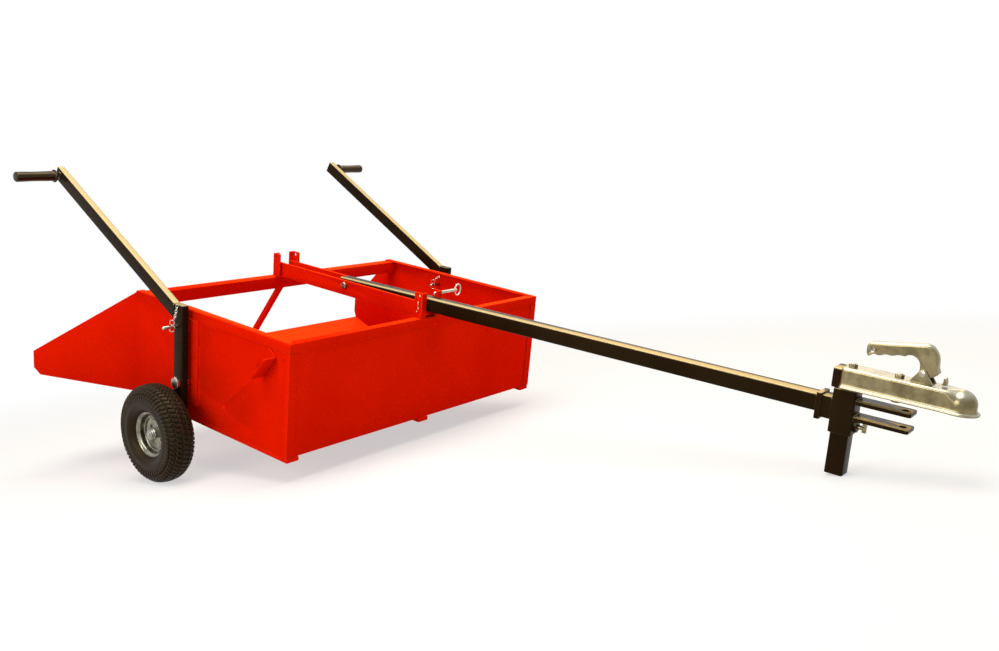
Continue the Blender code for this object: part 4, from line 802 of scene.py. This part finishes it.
def tyreSurface(side):
    # superellipse section turned about the axle, sunk by the tread's grooves; an even wall inside
    s, outer = tyreShape, tyreShape["outer"]
    middle = (outer + s["bead"]) / 2
    angle = np.linspace(-s["beadAngle"], pi + s["beadAngle"], s["section"])
    along = s["width"] / 2 * np.sign(np.cos(angle)) * np.abs(np.cos(angle)) ** s["power"]
    radius = middle + (outer - middle) * np.sign(np.sin(angle)) * np.abs(np.sin(angle)) ** s["power"]
    turn = 2 * pi * np.arange(s["around"]) / s["around"]
    run = np.gradient(along), np.gradient(radius)
    size = np.hypot(*run)
    normal = run[1] / size, -run[0] / size
    arcLength = np.concatenate([[0], np.cumsum(np.hypot(np.diff(along), np.diff(radius)))])
    crown = np.interp(pi / 2, angle, arcLength)
    share = (arcLength - crown) / (s["crownShare"] * crown)
    low, high = s["shoulder"]
    band = smoothStep(radius, outer * low, outer * high) * (radius > outer * s["treadFrom"])
    lift = treadHeight(turn[None, :], share[:, None]) * band[:, None]
    outA = along[:, None] + normal[0][:, None] * lift
    outR = radius[:, None] + normal[1][:, None] * lift
    inA = np.repeat((along - normal[0] * s["wall"])[::-1, None], s["around"], 1)
    inR = np.repeat((radius - normal[1] * s["wall"])[::-1, None], s["around"], 1)
    a, r = np.concatenate([outA, inA]), np.concatenate([outR, inR])
    points = np.stack([side * a, r * np.cos(turn), r * np.sin(turn)], -1)
    return gridSurface(points, closeRows=True)


def rimSurface(way):
    # pressed half: flat centre, conical well, bead seat and a rolled flange, with an even wall
    s = rimShape
    well, seat, edge, flange = s["well"], s["seat"], s["edge"], s["flange"]
    line = [(0.0004, s["hub"]), (0.0004, s["disc"]), (0.0010, s["disc"] + 0.0040), (0.0028, well),
            (0.0030, well + 0.0070), (0.0050, seat - 0.0016), (0.0100, seat), (0.0155, seat + 0.0006),
            (0.0180, seat + 0.0014), (edge - 0.0004, seat + 0.0038), (edge + 0.0004, flange - 0.0030),
            (edge + 0.0018, flange - 0.0006), (edge + 0.0036, flange)]
    line = np.concatenate([line[:2], smoothLine(line[1:], 56)[1:]])
    run = np.gradient(line, axis=0)
    run /= np.linalg.norm(run, axis=1, keepdims=True)
    back = line + np.stack([run[:, 1], -run[:, 0]], -1) * s["wall"]
    end, out = (line[-1] + back[-1]) / 2, run[-1]
    lip = circle(s["wall"] / 2, 7, 0, pi)
    lip = end + lip[:, :1] * (-out[1], out[0]) + lip[:, 1:] * out
    outline = np.concatenate([line, lip, back[::-1]])
    outline[:, 0] *= way
    return gridSurface(revolved(outline, s["segments"]), closeRows=True)


def hubSurface():
    # turned sleeve with a groove near each end
    h = hubShape
    r, e, bore, cut = h["radius"], h["half"], h["bore"], h["groove"]
    half = [(0, r), (e * 0.70, r), (e * 0.74, r - cut), (e * 0.80, r - cut), (e * 0.84, r),
            (e - cut, r), (e, r - cut), (e, bore)]
    profile = [(-a, b) for a, b in half[:0:-1]] + half
    return gridSurface(revolved(profile, 48), closeRows=True)


def cutVents(rim, at, way):
    s = rimShape
    for number in range(s["holes"]):
        angle = 2 * pi * (number + s["holeTurn"]) / s["holes"]
        spot = toWorld((way * 0.001, s["holeAt"] * np.cos(angle), s["holeAt"] * np.sin(angle)), at)
        cutRound(rim, "ventHole", spot, (1, 0, 0), s["holeRadius"], 0.006)


for label, side in sides:
    at, body = sideFrame("wheelCentre", side), "wheel_" + label
    meshPiece("tyreTread_" + label, tyreSurface(side), at, treadRubber, body, ["tyre_" + label],
              sharpAngle=40)
    for name, way in (("outer_" + label, side), ("inner_" + label, -side)):
        rim = meshPiece("rimPressing_" + name, rimSurface(way), at, rimZinc, body, ["rim_" + name])
        cutVents(rim, at, way)
    meshPiece("hubSleeve_" + label, hubSurface(), at, wheelZinc, body, ["wheel_hub_" + label])


# Coupling

print("Coupling")
couplingShape = {
    "top": 0.0917, "half": 0.0279, "rear": 0.0115, "length": 0.275, "skirt": 0.042, "wall": 0.0030,
    "lip": 0.007, "domeRadius": 0.031, "domeRise": 0.003, "fade": 0.034, "shoulder": 0.0075,
    "lipCurve": ((1, 0), (0.72, 0.0002), (0.40, 0.0012), (0.16, 0.0034), (0.04, 0.0062), (0, 0.0095)),
    "domeShoulder": 0.62, "leastSide": 0.011, "roofAbove": 0.21,
}


def couplingSection(blend, c):
    # half section from lip to ridge: flared lip, side, quarter ellipse shoulder, flat or domed top
    half = c["half"] + (c["domeRadius"] - c["half"]) * blend
    top = c["domeRise"] * blend
    shoulder = c["shoulder"] + (half - c["shoulder"]) * blend
    rise = np.minimum(c["shoulder"] + c["skirt"] * c["domeShoulder"] * blend, c["skirt"] - c["leastSide"])
    rim, sideFoot = -c["skirt"], c["lipCurve"][-1][1] - c["skirt"]
    lip = [(half + c["lip"] * out, rim + up + 0 * half) for out, up in c["lipCurve"]]
    side = [(half, sideFoot + (top - rise - sideFoot) * k) for k in (0.33, 0.66)]
    turn = np.linspace(0, pi / 2, 12)
    bend = [(half - shoulder * (1 - np.cos(a)), top - rise * (1 - np.sin(a))) for a in turn]
    flat = [((half - shoulder) * k, top) for k in (0.66, 0.33, 0.0)]
    return np.array(lip + side + bend + flat)


def couplingSurface():
    # plan runs up one side, round the nose and back: point = plan + inward share * outward way
    c = couplingShape
    nose = -(c["length"] - c["domeRadius"] - c["lip"]) + c["rear"]
    straight = np.concatenate([np.linspace(c["rear"], nose + c["fade"], 40)[:-1],
                               np.linspace(nose + c["fade"], nose, 26)])
    blend = 1 - smoothStep(straight, nose, nose + c["fade"])
    turn = np.linspace(0, pi, 66)[1:-1]
    y = np.concatenate([straight, np.full(64, nose), straight[::-1]])
    wayX = np.concatenate([-np.ones(len(straight)), -np.cos(turn), np.ones(len(straight))])
    wayY = np.concatenate([np.zeros(len(straight)), -np.sin(turn), np.zeros(len(straight))])
    swell = np.concatenate([blend, np.ones(64), blend[::-1]])
    section = couplingSection(swell, c)
    inward, height = section[:, 0].T, section[:, 1].T
    points = np.stack([wayX[:, None] * inward, y[:, None] + wayY[:, None] * inward, c["top"] + height], -1)
    return gridSurface(points, closeColumns=False)


def outlineSolid(outline, half, edge, steps=4):
    # an outline in (y, z) run from -half to half along X; each rim is eased by a quarter circle of
    # its point's edge radius r: x = half - r (1 - sin t), sunk inward by r (1 - cos t)
    outline = np.asarray(outline, float)
    edge = np.broadcast_to(np.asarray(edge, float), len(outline))
    run = np.roll(outline, -1, 0) - np.roll(outline, 1, 0)
    run /= np.linalg.norm(run, axis=1, keepdims=True)
    area = np.sum(outline[:, 0] * np.roll(outline[:, 1], -1) - np.roll(outline[:, 0], -1) * outline[:, 1])
    inward = np.stack([-run[:, 1], run[:, 0]], -1) * np.sign(area)
    turn = np.linspace(pi / 2, 0, steps)
    out = half - edge[None] * (1 - np.sin(turn))[:, None]
    sink = edge[None] * (1 - np.cos(turn))[:, None]
    # from one face's rim outward to full size, then the same on the other side
    x = np.concatenate([-out, out[::-1]])
    sink = np.concatenate([sink, sink[::-1]])
    rows = outline[None] + sink[..., None] * inward[None]
    return gridSurface(np.concatenate([x[..., None], rows], -1), caps=True)


coupling = meshPiece("couplingPressing", couplingSurface(), hitchFrame, zincPlate, "hitch",
                     ["coupling_body"], sharpAngle=60)
# the pressing is one open sheet, so its roof tells which way its faces look
roof = [p.normal.z for p in coupling.data.polygons if p.center.z > couplingShape["roofAbove"]]
if np.mean(roof) < 0:
    coupling.data.flip_normals()
wall = coupling.modifiers.new("wall", "SOLIDIFY")
wall.thickness, wall.offset, wall.use_even_offset = couplingShape["wall"], -1.0, True

bracketShape = {"pin": -0.1465, "half": 0.0118, "wall": 0.003, "foot": 0.0245, "crown": 0.0085,
                "up": 0.020, "sunk": -0.0015}


def bracketSurface():
    # two triangular cheeks with a round crown about the handle's pin
    made, b = [], bracketShape
    crown = circle(b["crown"], 10, radians(30), radians(120)) + (b["pin"], b["up"])
    outline = np.concatenate([[(b["pin"] - b["foot"], b["sunk"]), (b["pin"] + b["foot"], b["sunk"])], crown])
    for side in (-1, 1):
        points, faces = outlineSolid(outline + (0, couplingShape["top"]), b["wall"] / 2, 0.0006)
        made.append((points + (side * (b["half"] + b["wall"] / 2), 0, 0), faces))
    return joined(*made)


meshPiece("couplingBracket", bracketSurface(), hitchFrame, zincPlate, "hitch")
handleShape = {
    "width": 0.023, "edge": 0.0016, "topEdge": 0.0070, "footEdge": 0.0012, "reach": 0.119, "tail": 0.0425,
    "eyeBehind": 0.1065, "eyeUp": 0.0285, "eyeRadius": 0.0044,
}


def handleOutline():
    # (behind, up) of the pin: spur, leg, knee, back, rear end, then three finger waves and the crook;
    # beside each point the radius of its rim
    h, reach, tail = handleShape, handleShape["reach"], handleShape["tail"]
    leg = smoothLine([(-0.0100, -0.0092), (-0.0190, -0.0040), (-0.0262, 0.0010), (-0.0292, 0.0052),
                      (-0.0272, 0.0100), (-0.0254, 0.0150), (-0.0251, 0.0250)], 34)
    knee = smoothLine([(-0.0251, 0.0270), (-0.0243, 0.0356), (-0.0216, 0.0425), (-0.0160, 0.0510),
                       (-0.0087, 0.0580), (0.0010, 0.0605), (0.0100, 0.0595)], 44)
    back = np.linspace((0.0140, 0.0588), (reach - 0.010, tail + 0.0008), 18)
    end = smoothLine([(reach - 0.0055, tail - 0.0010), (reach - 0.0010, tail - 0.0065),
                      (reach, tail - 0.0140), (reach - 0.0010, tail - 0.0235),
                      (reach - 0.0045, tail - 0.0295), (reach - 0.0090, tail - 0.0280)], 30)
    y = np.linspace(reach - 0.0140, 0.040, 70)
    share = (y[0] - y) / (y[0] - y[-1])
    line = 0.0188 + 0.0102 * share
    waves = np.stack([y, line - 0.0030 * np.sin(2.5 * pi * share) ** 2 * (1 - 0.5 * share)], -1)
    crook = smoothLine([(0.0350, 0.0312), (0.0290, 0.0322), (0.0225, 0.0314), (0.0141, 0.0262),
                        (0.0094, 0.0180), (0.0083, 0.0081), (0.0083, 0.0)], 30)
    foot = smoothLine([(0.0080, -0.0040), (0.0050, -0.0086), (-0.0010, -0.0096)], 10)
    parts = ((leg, h["footEdge"]), (knee, h["topEdge"]), (back, h["topEdge"]), (end, h["edge"]),
             (waves, h["edge"]), (crook, h["edge"]), (foot, h["footEdge"]))
    outline = np.concatenate([part for part, edge in parts])
    edges = np.concatenate([np.full(len(part), edge) for part, edge in parts])
    # the rim's radius changes over a few points, not at once
    spread = np.ones(11) / 11
    edges = np.convolve(np.concatenate([edges[-5:], edges, edges[:5]]), spread, "valid")
    return outline, edges


handleLine, handleEdges = handleOutline()
handleSolid = outlineSolid(handleLine, handleShape["width"] / 2, handleEdges, steps=7)
handle = meshPiece("handleCasting", handleSolid, handleFrame, zincPlate, "coupling_handle",
                   ["coupling_handle"], sharpAngle=50)
eye = toWorld((0, handleShape["eyeBehind"], handleShape["eyeUp"]), handleFrame)
cutRound(handle, "handleEye", eye, (1, 0, 0), handleShape["eyeRadius"], 0.02)
for name, width in (("handle_catch", 0.0008), ("ball_clamp", 0.0012), ("coupling_bolt_rear", 0.0006),
                    ("coupling_bolt_front", 0.0006), ("clamp_screw", 0.0008)):
    bevelledCopy(name, zincPlate, width, 3)
bevelledCopy("handle_pin", brightSteel, 0.0005, 2, 40)


# Pins, clips and chains

print("Pins and clips")
for name in pair("lock_pin") + ["drawbar_pin"]:
    bevelledCopy(name, brightSteel, 0.0004, 2, 40)
clipShape = {"wire": 0.0012, "low": 0.0074, "high": 0.0064, "apart": 0.0178, "turn": 0.65, "depth": 1.15,
             "slack": 0.2}
chainShape = {"wire": 0.0011, "long": 0.0085, "wide": 0.0056, "step": 0.0058, "sag": 0.002, "inset": 0.002}
ringShape = {"wire": 0.0022, "wide": 0.0125, "tall": 0.0165}


def clipSurface(way):
    # figure of eight: a ring left open beside the pin, a crossing, and a smaller ring above it;
    # the depth runs evenly from one wire behind to one wire in front, so the crossing stays free,
    # and the whole clip is turned a little about the upright
    shape = clipShape
    low = circle(shape["low"], 18, radians(-150), radians(206))
    high = circle(shape["high"], 18, radians(236), radians(-292)) + (0, shape["apart"])
    last = [(-shape["low"] * 0.62, shape["low"] * 0.95), (-shape["low"] * 1.02, shape["low"] * 0.30)]
    across, up = smoothLine(np.concatenate([low, high, last]), 150).T
    depth = np.linspace(-1, 1, len(up)) * shape["depth"] * shape["wire"]
    c, s = np.cos(shape["turn"]), np.sin(shape["turn"])
    line = np.stack([across * s * way + depth * c, across * c - depth * s * way, up], -1)
    return wireSurface(line, shape["wire"], (c, -s * way, 0))


def linkLine(long, wide):
    # two half circles joined by straight sides
    a = circle(wide / 2, 9, -pi / 2, pi)
    a[:, 0] += (long - wide) / 2
    return np.concatenate([a, -a])


def chainSurface(start, end):
    # oval links strung along a hanging line, each turned a quarter from the last
    c = chainShape
    start, end = np.asarray(start, float), np.asarray(end, float)
    count = max(3, int(np.linalg.norm(end - start) / c["step"]) + 1)
    t = np.linspace(0, 1, count)
    spots = start + t[:, None] * (end - start)
    spots[:, 2] -= 4 * c["sag"] * t * (1 - t)
    ways = np.gradient(spots, axis=0)
    ways /= np.linalg.norm(ways, axis=1, keepdims=True)
    flat = linkLine(c["long"], c["wide"])
    made = []
    for number, (spot, way) in enumerate(zip(spots, ways)):
        side = np.cross(way, (0.3, 0.9, 0.2))
        side /= np.linalg.norm(side)
        other = np.cross(way, side)
        if number % 2:
            side, other = other, side
        line = spot + flat[:, :1] * way + flat[:, 1:] * side
        made.append(wireSurface(line, c["wire"], other, closed=True, sides=8))
    return joined(*made)


def ringSurface():
    # an upright ellipse of round wire: (wide cos t, 0, tall sin t)
    r, ring = ringShape, circle(1.0, 48)
    line = np.stack([r["wide"] * ring[:, 0], 0 * ring[:, 0], r["tall"] * ring[:, 1]], -1)
    return wireSurface(line, r["wire"], (0, 1, 0), closed=True)


def cadBox(name):
    return (np.array(corner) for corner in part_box(name))


def wirePiece(name, surface, body, cadNode):
    # fine wire, so points are merged only when they are the same
    meshPiece(name, surface, None, brightSteel, body, [cadNode], merge=1e-7)


for name, body, way in (("r_clip_left", "lock_pin_left", -1), ("r_clip_right", "lock_pin_right", -1),
                        ("r_clip_drawbar", "scoop", 1)):
    points, faces = clipSurface(way)
    points = points @ machineFrame[0].T
    low, high = cadBox(name)
    points += (low + high) / 2 - (points.min(0) + points.max(0)) / 2
    if name == "r_clip_left":
        # its inner side ends where the CAD clip's does, clear of the lever with the pin pushed in
        points[:, 0] += high[0] - clipShape["wire"] * clipShape["slack"] - points[:, 0].max()
    wirePiece("clipWire_" + name.split("_")[-1], (points, faces), body, name)
for name, body in (("chain_left", "lever_left"), ("chain_right", "scoop")):
    # strung inside the CAD wire's own box, from its upper outer end to its lower inner end
    low, high = cadBox(name)
    level, inset = (low[1] + high[1]) / 2, chainShape["inset"]
    links = chainSurface((high[0] - inset, level, high[2] - inset), (low[0] + inset, level, low[2] + inset))
    wirePiece("chainLinks_" + name.split("_")[-1], links, body, name)
points, faces = ringSurface()
low, high = cadBox("drawbar_pin_ring")
points = points @ machineFrame[0].T + (low + high) / 2
wirePiece("pullRing", (points, faces), "drawbar_pin", "drawbar_pin_ring")


# Studio

print("Studio")
studio = {"floorColour": (0.70, 0.70, 0.70, 1.0), "floorHalf": 60.0, "world": 0.31, "seen": 0.55,
          "fadeStart": 1.6, "fadeEnd": 3.2}
white = (1.0, 1.0, 1.0, 1.0)
lamps = {
    "topLamp": {"place": (-0.4, -0.2, 3.6), "aim": (0, 0, 0.2), "size": (3.2, 3.6), "power": 192.0,
                "colour": (1.0, 0.94, 0.84)},
    "leftLamp": {"place": (-4.0, 0.25, 2.0), "aim": (0, -0.2, 0.3), "size": (2.4, 2.0), "power": 84.0,
                 "colour": (1.0, 0.97, 0.92)},
    "rightLamp": {"place": (3.6, 0.4, 3.0), "aim": (0, -0.2, 0.3), "size": (3.0, 2.6), "power": 60.0,
                  "colour": (1.0, 0.80, 0.52)},
}


def whenSeen(tree):
    # 1 for camera, mirror and glass rays, 0 for the light that falls on things
    rays = node(tree, "LightPath").outputs
    mirrored = sums(tree, "MAXIMUM", rays["Is Glossy Ray"], rays["Is Transmission Ray"])
    return sums(tree, "MAXIMUM", rays["Is Camera Ray"], mirrored)


def paleFloor():
    # floor under the wheels; it holds the shadow near the object and turns white further off
    mesh = bpy.data.meshes.new("studioFloor")
    corners = circle(studio["floorHalf"] * 2 ** 0.5, 4, -3 * pi / 4)
    mesh.from_pydata([(x, y, 0) for x, y in corners], [], [(0, 1, 2, 3)])
    floor = inScene("studioFloor", mesh)
    material, tree, shader = newMaterial("paleFloor", Base_Color=studio["floorColour"], Roughness=0.95,
                                         Specular_IOR_Level=0.0)
    away = node(tree, "VectorMath", {0: objectPlace(tree)}, operation="LENGTH").outputs["Value"]
    faded = ramp(tree, away, studio["fadeStart"], studio["fadeEnd"], studio["seen"], 1.0)
    glow = node(tree, "Emission", {"Color": white, "Strength": 1.0})
    both = node(tree, "MixShader", {0: times(tree, faded, whenSeen(tree)), 1: shader.outputs[0],
                                    2: glow.outputs[0]})
    feed(tree, tree.nodes["Material Output"], Surface=both.outputs[0])
    mesh.materials.append(material)


def openSky():
    # white for camera, glossy and transmitted rays; plain grey light for the rest
    world = bpy.data.worlds.new("openSky")
    bpy.context.scene.world = world
    world.use_nodes = True
    tree = world.node_tree
    back = tree.nodes["Background"]
    strength = {"Value": whenSeen(tree), "To Min": studio["world"], "To Max": 1.0}
    back.inputs["Color"].default_value = white
    feed(tree, back, Strength=node(tree, "MapRange", strength).outputs["Result"])


def softLamp(name, place, aim, size, power, colour):
    lamp = bpy.data.lights.new(name, "AREA")
    lamp.shape, lamp.energy, lamp.color = "RECTANGLE", power, colour
    lamp.size, lamp.size_y = size
    item = inScene(name, lamp)
    item.location = place
    item.rotation_euler = (Vector(aim) - Vector(place)).to_track_quat("-Z", "Y").to_euler()


paleFloor()
openSky()
for name, lamp in lamps.items():
    softLamp(name, **lamp)

photoView = {"place": (-2.087033, -1.736285, 0.615140), "turn": (1.468162, 0.096486, -0.898992),
             "lens": 35.5156, "sensor": 36.0, "near": 0.05}
lens = bpy.data.cameras.new("photoCamera")
lens.lens, lens.sensor_width, lens.sensor_fit = photoView["lens"], photoView["sensor"], "HORIZONTAL"
lens.clip_start = photoView["near"]
camera = inScene("photoCamera", lens)
camera.location = photoView["place"]
camera.rotation_euler = Euler(photoView["turn"], "XYZ")
bpy.context.scene.camera = camera
bpy.context.scene.view_settings.view_transform = "Standard"

print("Finishing")
